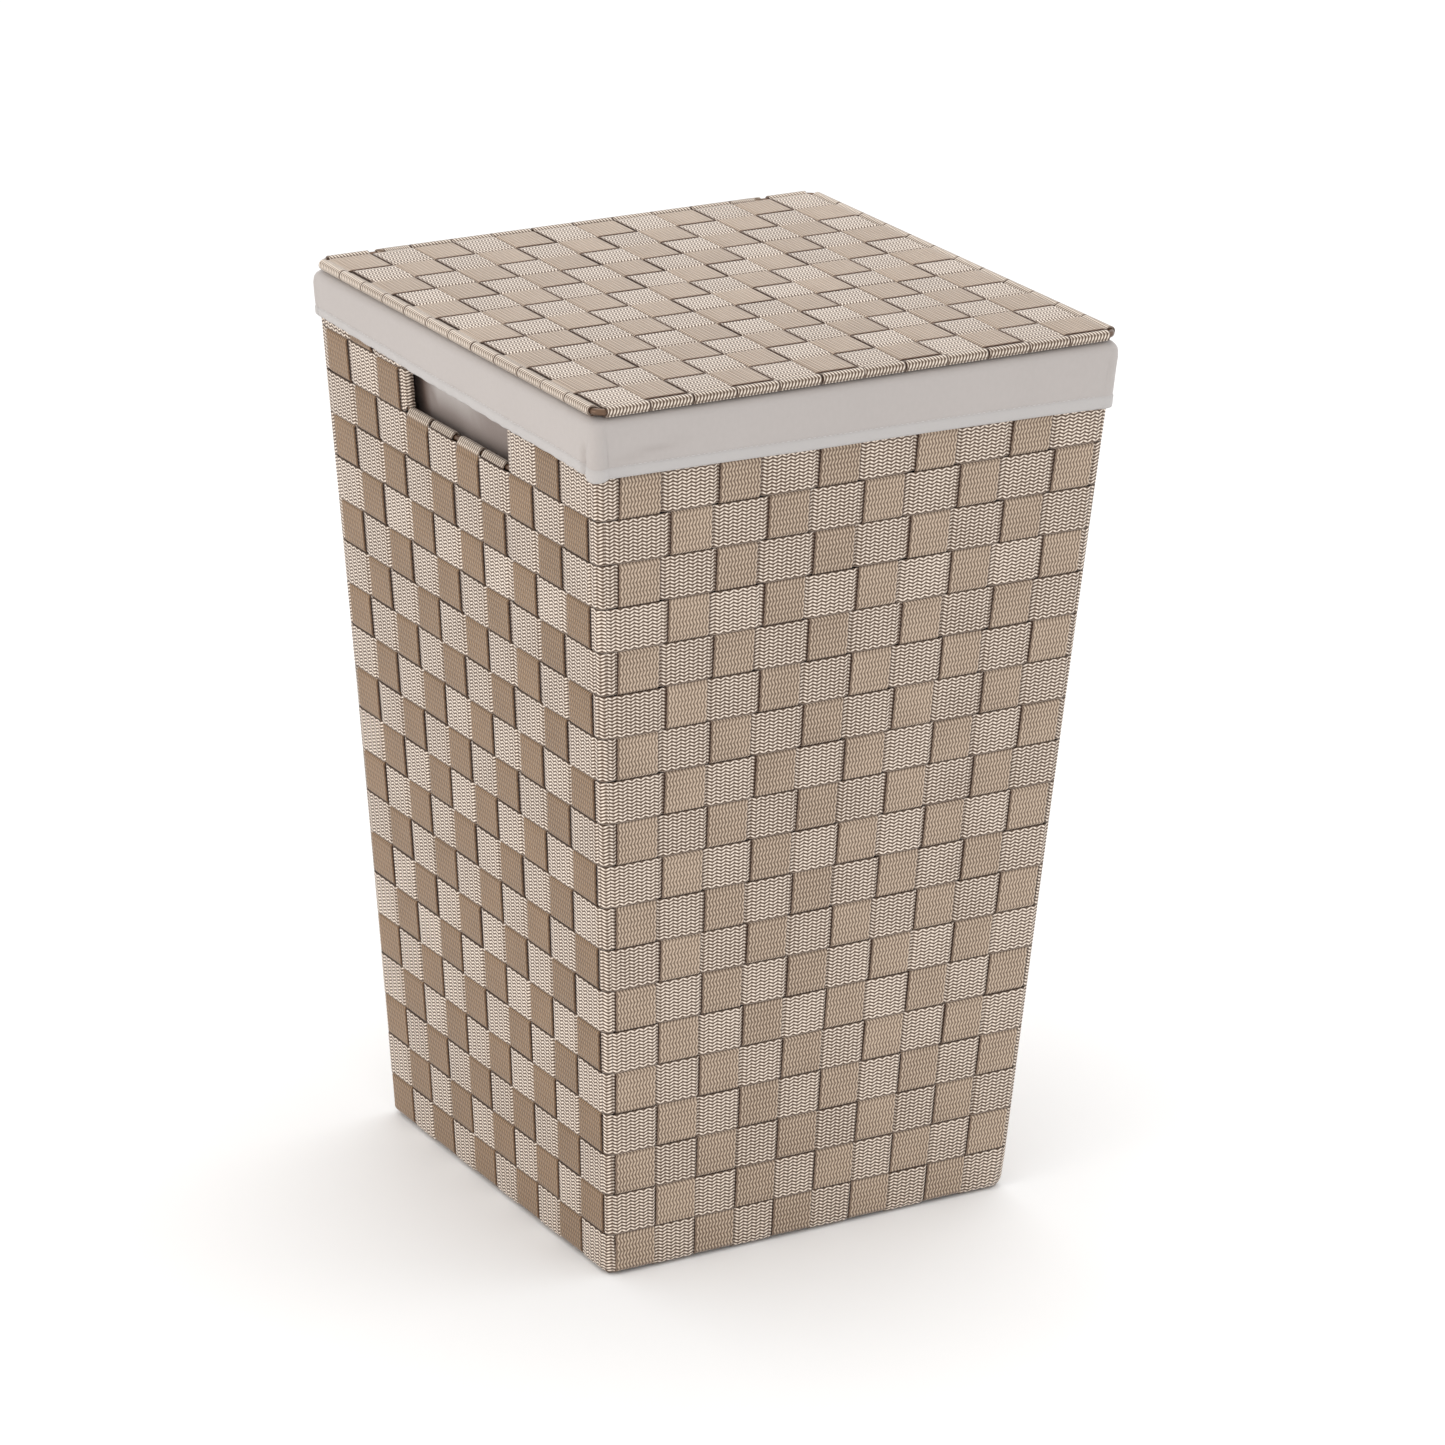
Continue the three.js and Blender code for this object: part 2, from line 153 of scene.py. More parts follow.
BASE_HALF, WALL_SLOPE, ROW_START, ROW_PITCH = wall_and_rows()
RIM_HALF, RIM_Z = wire_ring("rim_wire")
HINGE_Y, LID_Z = wire_ring("lid_wire")      # the lid turns about its back wire
LID_HALF = HINGE_Y + LID_REACH + FLARE
BASE_WIRE_HALF, BASE_WIRE_Z = wire_ring("base_wire")
HANDLE_LOW, HANDLE_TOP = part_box("handle_wire_left")
BAR_Z = HANDLE_LOW.z + CAD_WIRE_R
CUFF_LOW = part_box("liner_cuff")[0].z
HINGE_X = sum(corner.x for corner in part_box("hinge_loop_right")) / 2
FAN_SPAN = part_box("front_upright_10")[1].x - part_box("front_upright_01")[0].x
TOP_PITCH = (FAN_SPAN - CAD_STRAP_W) / (COLUMNS - 1)
LID_SHEET_Z = LID_Z + LID_RISE
LEAN = math.atan(WALL_SLOPE)


def wall_half(z):
    return BASE_HALF + WALL_SLOPE * z + FLARE * (z / RIM_Z) ** 2


def pitch_at(z):
    return FLOOR_PITCH + (TOP_PITCH - FLOOR_PITCH) * z / RIM_Z


def leg_lateral(z):
    """Distance of a handle hole's side wire from the middle of its face."""
    return (HANDLE_TOP.y - CAD_WIRE_R) * wall_half(z) / wall_half(HANDLE_TOP.z)


def row_edge(row):
    """Height of the upper edge of a row of squares."""
    return ROW_START + ROW_PITCH * row


def smooth(x):
    x = np.clip(x, 0, 1)
    return x * x * (3 - 2 * x)


def heading(degrees):
    """The direction at an angle from outward, turning upwards."""
    angle = math.radians(degrees)
    return np.array([math.cos(angle), math.sin(angle)])


def lengths_along(points):
    """Distance of each point from the first one, along the line through them."""
    return np.concatenate([[0], np.cumsum(np.linalg.norm(np.diff(points, axis=0), axis=1))])


def round_corner(centre, radius, angle, z):
    """A point on the rounded corner after the front face. centre is the middle of the rounding."""
    return np.array([centre + radius * math.sin(angle), -(centre + radius * math.cos(angle)), z])


def turned(points, face):
    """Points given as (lateral, -outward, z) on the front face, turned to another face."""
    angle = math.radians(90 * face)
    turn = np.array(Matrix.Rotation(angle, 3, "Z"))
    return points @ turn.T


# ---- Slight unevenness, the same in every run ----
chance = random.Random(7)
COLUMN_SLIP = [[chance.uniform(-1, 1) * LOOSENESS[f] for _ in range(COLUMNS + 2)] for f in range(4)]
for bar_column, bar_slip in BAR_SLIP:
    COLUMN_SLIP[3][bar_column] = bar_slip


def column_centre(face, column, z):
    """Lateral place of an upright's middle on a face."""
    up = np.clip(z / RIM_Z, 0, 1)
    slip = (FACE_DRIFT[face] + COLUMN_SLIP[face][column]) * up ** 1.3
    return (column - (COLUMNS + 1) / 2) * pitch_at(z) + slip


def wobble(along, seed):
    """How far a strap has wandered sideways at a place along it."""
    return WOBBLE * noise.noise(Vector((along / WOBBLE_LENGTH, seed * 7.31, 0.5)))


# ---- Meshes ----

def make_object(name, verts, faces, material):
    mesh = bpy.data.meshes.new(name)
    mesh.from_pydata([tuple(v) for v in verts], [], faces)
    mesh.materials.append(material)
    mesh.polygons.foreach_set("use_smooth", [True] * len(mesh.polygons))
    piece = bpy.data.objects.new(name, mesh)
    bpy.context.scene.collection.objects.link(piece)
    return piece


def skin(name, grid, closed, material, u=None, v=None):
    """A surface through rings of points: grid is (rings, points of a ring, 3). Each ring is closed.
    An open run of rings is capped at both ends."""
    rings, count = grid.shape[:2]
    faces = []
    corners = []                  # (ring, point) of each face's corners, counted on past the last one
    for r in range(rings if closed else rings - 1):
        n = (r + 1) % rings
        for i in range(count):
            j = (i + 1) % count
            faces.append((r * count + i, r * count + j, n * count + j, n * count + i))
            corners.append(((r, i), (r, i + 1), (r + 1, i + 1), (r + 1, i)))
    if not closed:
        last = (rings - 1) * count
        faces.append(tuple(range(count - 1, -1, -1)))
        corners.append([(0, i) for i in range(count - 1, -1, -1)])
        faces.append(tuple(last + i for i in range(count)))
        corners.append([(rings - 1, i) for i in range(count)])
    piece = make_object(name, grid.reshape(-1, 3), faces, material)
    if u is not None:
        set_uv(piece, [(u[i], v[r]) for face in corners for r, i in face])
    outward(piece)
    return piece


def outward(piece):
    """Turns all faces of a closed mesh outwards."""
    mesh = piece.data
    mesh.calc_loop_triangles()
    co = np.array([vertex.co for vertex in mesh.vertices])
    a, b, c = (co[[t.vertices[k] for t in mesh.loop_triangles]] for k in range(3))
    if np.einsum("ij,ij->i", a, np.cross(b, c)).sum() < 0:
        mesh.flip_normals()


def set_uv(piece, values):
    """Places on the flat cloth or webbing, in metres: across and along."""
    layer = piece.data.uv_layers.new(name="strap")
    layer.data.foreach_set("uv", np.array(values, np.float32).ravel())


def set_attribute(piece, name, values):
    layer = piece.data.attributes.new(name, "FLOAT", "POINT")
    layer.data.foreach_set("value", np.asarray(values, np.float32))


def strap_section(width, bending=False):
    """Outline of a strap: (across, out) of each point, and its place across the webbing. The sides
    count as lying beyond the edge, where the material paints them in shade."""
    w, t, edge = width / 2, STRAP_T / 2, STRAP_EDGE
    insets = (edge, 1.4 * MM, 3.2 * MM, 5.5 * MM) if bending else (edge, 1.4 * MM)
    top = [(-w + inset, t) for inset in insets] + [(w - inset, t) for inset in reversed(insets)]
    right = [(w, t - edge), (w, edge - t)]
    points = np.array(top + right + [(-x, -y) for x, y in top + right])
    places = [x for x, _ in top] + [w + 0.15 * MM, w + 0.45 * MM]
    beyond = [-w - 0.5 * MM] * 3
    return points, np.array(places + [-x for x, _ in top] + beyond)


def finish_strap(piece, painted_shade, tone, per_ring, roll=None, underside=None):
    """The strap's own numbers for its material: painted shade near a crossing, a slight tint, and
    where the strap is stretched round a wire, which gets a painted highlight. The second half of a
    strap's outline is its underside."""
    below = painted_shade if underside is None else underside
    shade = np.column_stack([np.repeat([side], per_ring // 2, axis=0).T for side in (painted_shade, below)])
    set_attribute(piece, "painted_shade", shade.ravel())
    set_attribute(piece, "tone", np.full(len(painted_shade) * per_ring, tone))
    if roll is not None:
        set_attribute(piece, "roll", np.repeat(roll, per_ring))


def own(piece, body, slot, *nodes):
    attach(piece, body)
    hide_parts(*nodes)
    return piece


# ---- Over and under ----

def turns(edges, signs, gaps):
    """Where a strap passes between over and under: (middle, half length, sign before, sign after)."""
    found = []
    for edge, before, after, gap in zip(edges, signs, signs[1:], gaps):
        half = max(TURN_HALF, gap / 2 + 0.4 * MM)
        middle = edge - TURN_SHIFT * (before - after) / 2
        found.append((middle, half, before, after))
    return found


def weave_at(x, found):
    """1 where the strap lies over its crossings and -1 where it lies under them."""
    level = np.full(np.shape(x), float(found[0][2]))
    for middle, half, before, after in found:
        level += (after - before) * smooth((x - middle + half) / (2 * half))
    return level


def weave_stops(found, start, end):
    """Places along a strap that catch each turn, and the middle of each square."""
    stops = [start]
    for middle, half, _, _ in found:
        stops += [middle + half * k for k in (-1, -0.5, 0, 0.5, 1)]
    stops.append(end)
    filled = []
    for a, b in zip(stops, stops[1:]):
        filled.append(a)
        if b - a > 8 * MM:
            filled += [a + (b - a) / 3, a + 2 * (b - a) / 3]
    return np.array(filled + [end])


def shade_beside(x, covers):
    """Painted shade: 1 where a strap is hidden below another or close beside it, falling to 0 in the open."""
    shade = np.zeros(np.shape(x))
    for low, high in covers:
        off = np.maximum(low - x, x - high)
        shade = np.maximum(shade, 1 - smooth(off / SHADE_REACH))
    return shade


def crown(x, found):
    """A slight swelling in the middle of each square that is on top."""
    return CROWN * np.clip(weave_at(x, found), 0, 1)


# ---- Upright straps ----

def upright_half(face, column, wire_z, seed):
    """Half of an upright, from its tail behind the wire down the wall to the middle of the base.
    Each station is lateral, outward, z, the outward and z parts of its normal, and its painted shade."""
    last_row = HOLE_ROW if wire_z == BAR_Z else ROWS
    rows = list(range(last_row, 0, -1))
    signs = [1 if (row + column) % 2 == 0 else -1 for row in rows]
    edges = [row_edge(row - 1) for row in rows[:-1]]
    wall = turns([-e for e in edges], signs, [0] * len(edges))
    wall.insert(0, (BELOW_WIRE - wire_z, ROLL_TURN_HALF, -1, signs[0]))
    foot_centre = (wall_half(FOOT_R) - FOOT_R, FOOT_R)
    stops = weave_stops(wall, -wire_z, -foot_centre[1])
    z = -stops
    level = weave_at(stops, wall)
    slack = 0.3 * MM
    covers = [(slack - row_edge(r), -row_edge(r - 1) - slack) for r, s in zip(rows, signs) if s < 0]
    shade = shade_beside(stops, covers)
    out = np.array([math.cos(LEAN), -math.sin(LEAN)])
    rise = level * LAYER_STEP / 2 + crown(stops, wall)
    stations = []
    centre = np.array([wall_half(wire_z) - WIRE_DEPTH, wire_z])
    # The tail behind the wire gets full painted shade.
    for drop in (TAIL, TAIL * 0.6, TAIL * 0.25):
        spot = (centre[0] - ROLL_R + TAIL_LEAN * drop, wire_z - drop)
        stations.append((*spot, -1.0, 0.0, 1.0))
    for angle in range(180, 0, -18):
        direction = heading(angle)
        stations.append((*(centre + ROLL_R * direction), *direction, 0.0))
    for here, lift, dark in zip(z, rise, shade):
        spot = np.array([wall_half(here) - MID_DEPTH, here]) + out * lift
        stations.append((*spot, *out, dark))
    stations += foot_and_base(column, foot_centre, level[-1])
    stations = np.array(stations)
    lateral = column_centre(face, column, stations[:, 1])
    wander = np.array([wobble(s, seed) for s in lengths_along(stations[:, :2])])
    lateral += wander * np.clip(stations[:, 1] / WOBBLE_FADE, 0, 1)
    return np.column_stack([lateral, stations])


def foot_and_base(column, foot_centre, level):
    """The turn under the edge of the base, and the run to the middle of the base."""
    signs = [1 if (1 - cell + column) % 2 == 0 else -1 for cell in range(1, COLUMNS // 2 + 2)]
    places = [-(COLUMNS / 2 - cell) * FLOOR_PITCH for cell in range(1, COLUMNS // 2 + 1)]
    base = turns(places, signs, [0] * len(places))
    stations = []
    # The foot and the base get a little painted shade.
    for angle in np.arange(-12, -90, -13):
        share = smooth(-angle / 90)
        lift = (level * (1 - share) + signs[0] * share) * LAYER_STEP / 2
        direction = heading(angle)
        spot = np.array(foot_centre) + (FOOT_R - MID_DEPTH + lift) * direction
        stations.append((*spot, *direction, 0.2))
    stops = weave_stops(base[:-1], -foot_centre[0], 0)
    lifts = weave_at(stops, base) * LAYER_STEP / 2
    for stop, lift in zip(stops[:-1], lifts):
        stations.append((-stop, MID_DEPTH - lift, 0.0, -1.0, 0.3))
    return stations


def build_upright(name, column, front, holed, material, seed):
    """An upright goes down one face, under the base and up the opposite face."""
    faces = (0, 2) if front else (1, 3)
    wire_z = BAR_Z if holed else RIM_Z
    section, around = strap_section(UPRIGHT_W)
    parts = []
    shades = []
    rolls = []
    for face, flip in zip(faces, (1, -1)):
        seen_column = column if flip == 1 else COLUMNS + 1 - column
        half = upright_half(face, seen_column, wire_z, seed + 0.37 * face)
        across = half[:, None, 0] + flip * section[None, :, 0]
        outward_by = half[:, None, 1] + half[:, None, 3] * section[None, :, 1]
        height = half[:, None, 2] + half[:, None, 4] * section[None, :, 1]
        grid = turned(np.stack([across, -outward_by, height], axis=-1), face)
        parts.append(grid[::flip])
        shades.append(half[::flip, 5])
        # The part rolled round the wire, which gets a painted highlight.
        rolls.append(smooth((half[::flip, 2] - wire_z + 1.5 * MM) / (2 * MM)))
    grid = np.concatenate(parts)
    piece = skin(name, grid, False, material, around, lengths_along(grid.mean(axis=1)))
    shade, roll = np.concatenate(shades), np.concatenate(rolls)
    finish_strap(piece, shade, chance.uniform(-1, 1), len(section), roll)
    return own(piece, "basket", "webbing", name)


# ---- Bands ----

def band_span(row):
    """Lower and upper edge of a band."""
    middle = (row_edge(row - 1) + row_edge(row)) / 2
    low, high = middle - BAND_W / 2, middle + BAND_W / 2
    return max(low, LOWEST), min(high, RIM_Z - WIRE_R - 0.4 * MM)


def corner_radius(z):
    return CORNER_R + CORNER_SPREAD * smooth(1 - z / CORNER_RISE)


def tuck(z):
    """How far the lower edge of the first band curves in under the body, with the uprights."""
    below = max(FOOT_R - z, 0)
    return FOOT_R - math.sqrt(FOOT_R ** 2 - below ** 2)


def face_turns(face, row, z, columns):
    signs = [1 if (row + column) % 2 == 1 else -1 for column in columns]
    centres = [column_centre(face, column, z) for column in columns]
    edges = [(a + b) / 2 for a, b in zip(centres, centres[1:])]
    gaps = [b - a - UPRIGHT_W for a, b in zip(centres, centres[1:])]
    covers = [(c - UPRIGHT_W / 2, c + UPRIGHT_W / 2) for c, s in zip(centres, signs) if s < 0]
    beyond = UPRIGHT_W / 2 + TURN_HALF
    found = turns(edges, signs, gaps)
    if columns[0] == 1:
        found.insert(0, (centres[0] - beyond, TURN_HALF, 0, signs[0]))
    if columns[-1] == COLUMNS:
        found.append((centres[-1] + beyond, TURN_HALF, signs[-1], 0))
    return found, covers, signs


def flat_run(face, stops, lifts, covers):
    """Stations on a face: face, lateral, corner angle, lift, painted shade and roll angle."""
    shade = shade_beside(stops, covers)
    return [(face, s, 0.0, lift, dark, 0.0) for s, lift, dark in zip(stops, lifts, shade)]


def face_run(face, row, z, columns, start, end):
    found, covers, _ = face_turns(face, row, z, columns)
    stops = weave_stops(found, start, end)
    lifts = weave_at(stops, found) * LAYER_STEP / 2 + crown(stops, found)
    return flat_run(face, stops, lifts, covers)


def corner_run(face):
    """Stations round the corner that follows a face. All bands lie level with each other there."""
    return [(face, 0.0, math.radians(angle), 0.0, 0.0, 0.0) for angle in CORNER_ANGLES]


def roll_run(face, side, z):
    """Stations where a band rolls round a side wire of a handle hole. side is the hole's side: -1 or 1."""
    found = []
    for angle in range(18, 181, 18):
        found.append((face, side * leg_lateral(z), 0.0, 0.0, 0.0, math.radians(angle)))
    # The band's tail behind the wire gets full painted shade.
    for step in (0.3, 0.65, 1.0):
        found.append((face, side * (leg_lateral(z) + TAIL * step), 0.0, 0.0, 1.0, math.pi * 1.0001))
    return found


def open_face_run(face, row, z, columns, side):
    """The part of a band beside a handle hole, ending at the hole's side wire."""
    found, covers, signs = face_turns(face, row, z, columns)
    leg = side * leg_lateral(z)
    edge = side * (wall_half(z) - CORNER_R)
    last = signs[0] if side == 1 else signs[-1]
    middle = leg + side * BESIDE_WIRE
    if side == 1:
        found.insert(0, (middle, ROLL_TURN_HALF, -1, last))
        stops = weave_stops(found, leg, edge)
    else:
        found.append((middle, ROLL_TURN_HALF, last, -1))
        stops = weave_stops(found, edge, leg)
    return flat_run(face, stops, weave_at(stops, found) * LAYER_STEP / 2, covers)


def band_stations(row, side):
    """All stations of a band: a closed ring, or the front or back run between the handle holes."""
    low, high = band_span(row)
    z = (low + high) / 2
    reach = wall_half(z) - CORNER_R
    every = range(1, COLUMNS + 1)
    if side is None:
        found = []
        for face in range(4):
            found += face_run(face, row, z, every, -reach, reach)
            found += corner_run(face)
        return found, z
    middle_face = 0 if side == "front" else 2
    before, after = (middle_face + 3) % 4, (middle_face + 1) % 4
    found = list(reversed(roll_run(before, 1, z)))
    found += open_face_run(before, row, z, range(HOLE_COLUMNS[-1] + 1, COLUMNS + 1), 1)
    found += corner_run(before)
    found += face_run(middle_face, row, z, every, -reach, reach)
    found += corner_run(middle_face)
    found += open_face_run(after, row, z, range(1, HOLE_COLUMNS[0]), -1)
    found += roll_run(after, -1, z)
    return found, z


def band_point(station, z, middle_z, out, lowest):
    """A point of a band. out is its distance from the band's middle line, away from the body, and
    lowest is the height that its rolled end keeps above."""
    face, lateral, angle, lift, _, roll = station
    spread = pitch_at(z) / pitch_at(middle_z)
    half = wall_half(z)
    depth = MID_DEPTH - lift - out + tuck(z)
    centre = half - corner_radius(z)
    if angle:
        return round_corner(centre, max(half - centre - depth, 0.5 * MM), angle, z)
    if roll:
        side = math.copysign(1, lateral)
        leg = side * leg_lateral(z)
        radius = ROLL_R + out
        if roll > math.pi:
            behind = half - WIRE_DEPTH - radius
            return leg + lateral - side * leg_lateral(middle_z), -behind, max(z, lowest)
        front = half - WIRE_DEPTH + radius * math.cos(roll)
        return leg - side * radius * math.sin(roll), -front, max(z, lowest)
    lateral *= spread
    past = max(abs(lateral) - centre, 0)
    lateral -= math.copysign(0.98 * past, lateral)
    return lateral, -(half - depth), z


def build_band(name, row, side, material, seed):
    stations, middle_z = band_stations(row, side)
    low, high = band_span(row)
    section, around = strap_section(high - low, row == 1)
    above_bar = BAR_Z + ROLL_OUT + 0.3 * MM
    lowest = above_bar if row == HOLE_ROW + 1 else 0
    grid = np.empty((len(stations), len(section), 3))
    for i, station in enumerate(stations):
        drift = wobble(station[1] + 0.3 * station[0], seed) * (0 if station[2] or station[5] else 1)
        ring = [band_point(station, middle_z + a + drift, middle_z, b, lowest) for a, b in section]
        grid[i] = turned(np.array(ring), station[0])
    middles = grid.mean(axis=1)
    run = lengths_along(middles)
    if side is None:
        run = np.append(run, run[-1] + np.linalg.norm(middles[0] - middles[-1]))
    piece = skin(name, grid, side is None, material, around, run)
    finish_strap(piece, [s[4] for s in stations], chance.uniform(-1, 1), len(section))
    return own(piece, "basket", "webbing", name)


# ---- Lid straps ----

def hermite(p0, p1, t0, t1, steps):
    """Points of a cubic between two points, without its two ends."""
    points = []
    for k in range(1, steps):
        s = k / steps
        rest = 1 - s
        points.append((1 + 2 * s) * rest ** 2 * p0 + s * rest ** 2 * t0
                      + s ** 2 * (3 - 2 * s) * p1 - s ** 2 * rest * t1)
    return points


def lid_end(level):
    """The rolled end of a lid strap: (place along the strap, z), from its tail to the woven sheet."""
    wire = np.array([LID_HALF, LID_Z])
    outwards = np.array([1 * MM, 0])
    tail = np.array([LID_HALF - TAIL - 1 * MM, LID_SHEET_Z - 2.3 * MM])
    bottom = wire + ROLL_R * heading(-90)
    leave = wire + ROLL_R * heading(90 + LID_LAP)
    land = np.array([LID_HALF - LID_LAND, LID_SHEET_Z + level * LAYER_STEP / 2])
    points = [tail] + hermite(tail, bottom, 11 * outwards, 8 * outwards, 4) + [bottom]
    points += [wire + ROLL_R * heading(angle) for angle in range(-75, 90 + LID_LAP, 15)]
    points.append(leave)
    points += hermite(leave, land, 3.5 * MM * heading(180 + LID_LAP), -3.5 * outwards, 5)
    return points


def lid_signs(index, lengthwise):
    """Over or under at each crossing, counted along +Y or +X. Rows are counted from the back."""
    signs = []
    for step in range(1, LID_STRAPS + 1):
        row, column = (LID_STRAPS + 1 - step, index) if lengthwise else (index, step)
        on_top = (row + column) % 2 == (1 if lengthwise else 0)
        signs.append(1 if on_top else -1)
    return signs


def on_hinge(points):
    """Draws the lid in from the back a little, so that its back wire lies on the hinge's axis."""
    scale = (LID_HALF + HINGE_Y) / (2 * LID_HALF)
    points[..., 1] = (points[..., 1] + LID_HALF) * scale - LID_HALF
    return points


def lid_line(signs):
    """A lid strap's middle line as (place, height), its painted shade on the upper and the lower side, and
    where it is rolled round the wire, which gets a painted highlight."""
    places = [(step - (LID_STRAPS + 1) / 2) * LID_PITCH for step in range(1, LID_STRAPS + 1)]
    edges = [place + LID_PITCH / 2 for place in places[:-1]]
    found = turns(edges, signs, [LID_PITCH - LID_STRAP_W] * len(edges))
    land = LID_HALF - LID_LAND
    stops = weave_stops(found, -land, land)
    lifts = weave_at(stops, found) * LAYER_STEP / 2
    sheet = np.column_stack([stops, LID_SHEET_Z + lifts + crown(stops, found)])
    first = [point * (-1, 1) for point in lid_end(signs[0])]
    last = lid_end(signs[-1])[::-1]
    bare = np.zeros(len(first))
    shades = []
    for hidden in (-1, 1):
        covers = [(place - LID_STRAP_W / 2, place + LID_STRAP_W / 2)
                  for place, sign in zip(places, signs) if sign == hidden]
        shades.append(np.concatenate([bare, shade_beside(stops, covers), bare]))
    # The rolled ends, which get a painted highlight.
    rolled = np.concatenate([np.ones(len(first) - 2), [0.5, 0]])
    roll = np.concatenate([rolled, np.zeros(len(stops)), rolled[::-1]])
    return np.array(first + list(sheet) + last), shades, roll


def build_lid_strap(name, index, lengthwise, node, material, seed):
    line, (above, below), roll = lid_line(lid_signs(index, lengthwise))
    along = np.gradient(line, axis=0)
    along /= np.linalg.norm(along, axis=1)[:, None]
    normal = np.column_stack([-along[:, 1], along[:, 0]])
    section, around = strap_section(LID_STRAP_W)
    centre = (index - (LID_STRAPS + 1) / 2) * LID_PITCH * (1 if lengthwise else -1)
    centre += chance.uniform(-1, 1) * LID_SLACK
    drift = np.array([wobble(place, seed) for place in line[:, 0]])
    across = np.repeat(section[None, :, 0], len(line), axis=0)
    if lengthwise and abs(abs(centre) - HINGE_X) < LID_STRAP_W / 2:
        across = notch(across, line, centre)
    place = line[:, None, 0] + normal[:, None, 0] * section[None, :, 1]
    height = line[:, None, 1] + normal[:, None, 1] * section[None, :, 1]
    side = centre + drift[:, None] + across
    grid = np.stack([side, place, height] if lengthwise else [place, side, height], axis=-1)
    piece = skin(name, on_hinge(grid), False, material, around, lengths_along(line))
    finish_strap(piece, above, chance.uniform(-1, 1), len(section), roll, below)
    return own(piece, "lid", "webbing", node)


def notch(across, line, centre):
    """Narrows the back roll of a lid strap so that it clears the hinge loop beside it."""
    side = math.copysign(1, centre)
    limit = side * (HINGE_X - SLOT_HALF) - centre
    near_hinge = line[:, 0] > LID_HALF - ROLL_OUT - 1.5 * MM
    trimmed = np.minimum(across, limit) if side > 0 else np.maximum(across, limit)
    return np.where(near_hinge[:, None], trimmed, across)


# ---- Wires ----

def tube(name, points, radius, closed, material, sides=16):
    points = np.array(points, float)
    if closed:
        ahead, behind = np.roll(points, -1, axis=0), np.roll(points, 1, axis=0)
    else:
        ahead = np.vstack([points[1:], points[-1:]])
        behind = np.vstack([points[:1], points[:-1]])
    along = ahead - behind
    along /= np.linalg.norm(along, axis=1)[:, None]
    flat = Vector(np.cross(points[1] - points[0], points[len(points) // 2] - points[0]) + 1e-9)
    if flat.length < 1e-8:
        flat = Vector(along[0]).orthogonal()
    up = np.array(flat.normalized())
    side = np.cross(along, up)
    side /= np.linalg.norm(side, axis=1)[:, None]
    rise = np.cross(side, along)
    ring = [heading(360 * k / sides) for k in range(sides)]
    grid = np.stack([points + radius * (a * side + b * rise) for a, b in ring], axis=1)
    return skin(name, grid, closed, material)


def rounded_square(half, radius, z, steps=8):
    corner = [round_corner(half - radius, radius, math.radians(90 * k / steps), z) for k in range(steps + 1)]
    return [turned(point, face) for face in range(4) for point in corner]


def handle_points(side):
    """The U of wire round a handle hole, from one end under the rim to the other."""
    bend = 3 * MM
    top = RIM_Z - 2 * WIRE_R
    bar = leg_lateral(BAR_Z)
    straight = BAR_Z + 4 * bend
    half = [(leg_lateral(top), top), (leg_lateral(straight), straight)]
    for angle in range(0, 91, 15):
        half.append(np.array([bar - bend, BAR_Z + bend]) + bend * heading(-angle))
    outline = half + [(-y, z) for y, z in reversed(half)]
    return [(side * (wall_half(z) - WIRE_DEPTH), y, z) for y, z in outline]


def post_points(node):
    low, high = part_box(node)
    sx, sy = math.copysign(1, low.x + high.x), math.copysign(1, low.y + high.y)
    inset = 7 * MM
    ends = []
    for z in (low.z + 0.2 * MM, high.z - 0.2 * MM):
        reach = wall_half(z) - inset
        ends.append(np.array([sx * reach, sy * reach, z]))
    return [ends[0] + (ends[1] - ends[0]) * k / 4 for k in range(5)]


def build_wires(material):
    def wire(node, line, closed, body="basket"):
        own(tube(node + "_round", line, WIRE_R, closed, material), body, "wire", node)

    wire("rim_wire", rounded_square(wall_half(RIM_Z) - WIRE_DEPTH, 4 * MM, RIM_Z), True)
    wire("base_wire", rounded_square(BASE_WIRE_HALF, 3 * MM, BASE_WIRE_Z), True)
    wire("lid_wire", on_hinge(np.array(rounded_square(LID_HALF, LID_CORNER_R, LID_Z))), True, "lid")
    for side, word in ((-1, "left"), (1, "right")):
        wire("handle_wire_" + word, handle_points(side), False)
    for place in ("front_left", "front_right", "back_left", "back_right"):
        wire("corner_post_" + place, post_points("corner_post_" + place), False)


def build_hinge_loop(word, side, material):
    """A narrow strap closed in a loop round the rim wire and the lid wire."""
    low = np.array([wall_half(RIM_Z) - WIRE_DEPTH, RIM_Z])
    high = np.array([HINGE_Y, LID_Z - 0.2 * MM])
    lean = math.degrees(math.atan2(*(high - low)[::-1]))
    radius = WIRE_R + 0.75 * MM
    step = 15
    line = [(centre, heading(start + angle)) for centre, start in ((low, lean + 90), (high, lean - 90))
            for angle in range(0, 181, step)]
    t, w, edge = 0.45 * MM, HINGE_HALF_W, 0.3 * MM
    section = [(-w + edge, t), (w - edge, t), (w, t - edge), (w, edge - t),
               (w - edge, -t), (-w + edge, -t), (-w, edge - t), (-w, t - edge)]
    grid = np.empty((len(line), len(section), 3))
    for i, (centre, direction) in enumerate(line):
        for k, (across, out) in enumerate(section):
            y, z = centre + (radius + out) * direction
            grid[i, k] = (side * HINGE_X + across, y, z)
    node = "hinge_loop_" + word
    around = np.linspace(-w, w, len(section) + 1)
    run = np.arange(len(line) + 1) * radius * math.radians(step)
    return own(skin(node + "_round", grid, True, material, around, run), "basket", "webbing", node)


# ---- Liner ----

def hem_height(x, y):
    """Height of the hem, which ripples a little, at a place on the outside of the cuff."""
    low = CUFF_LOW - 1.2 * MM
    ripple = 1.1 * MM * noise.noise(Vector((x / 0.09, y / 0.09, 3.1)))
    return low + HEM_TILT[0] * x + HEM_TILT[1] * y + ripple


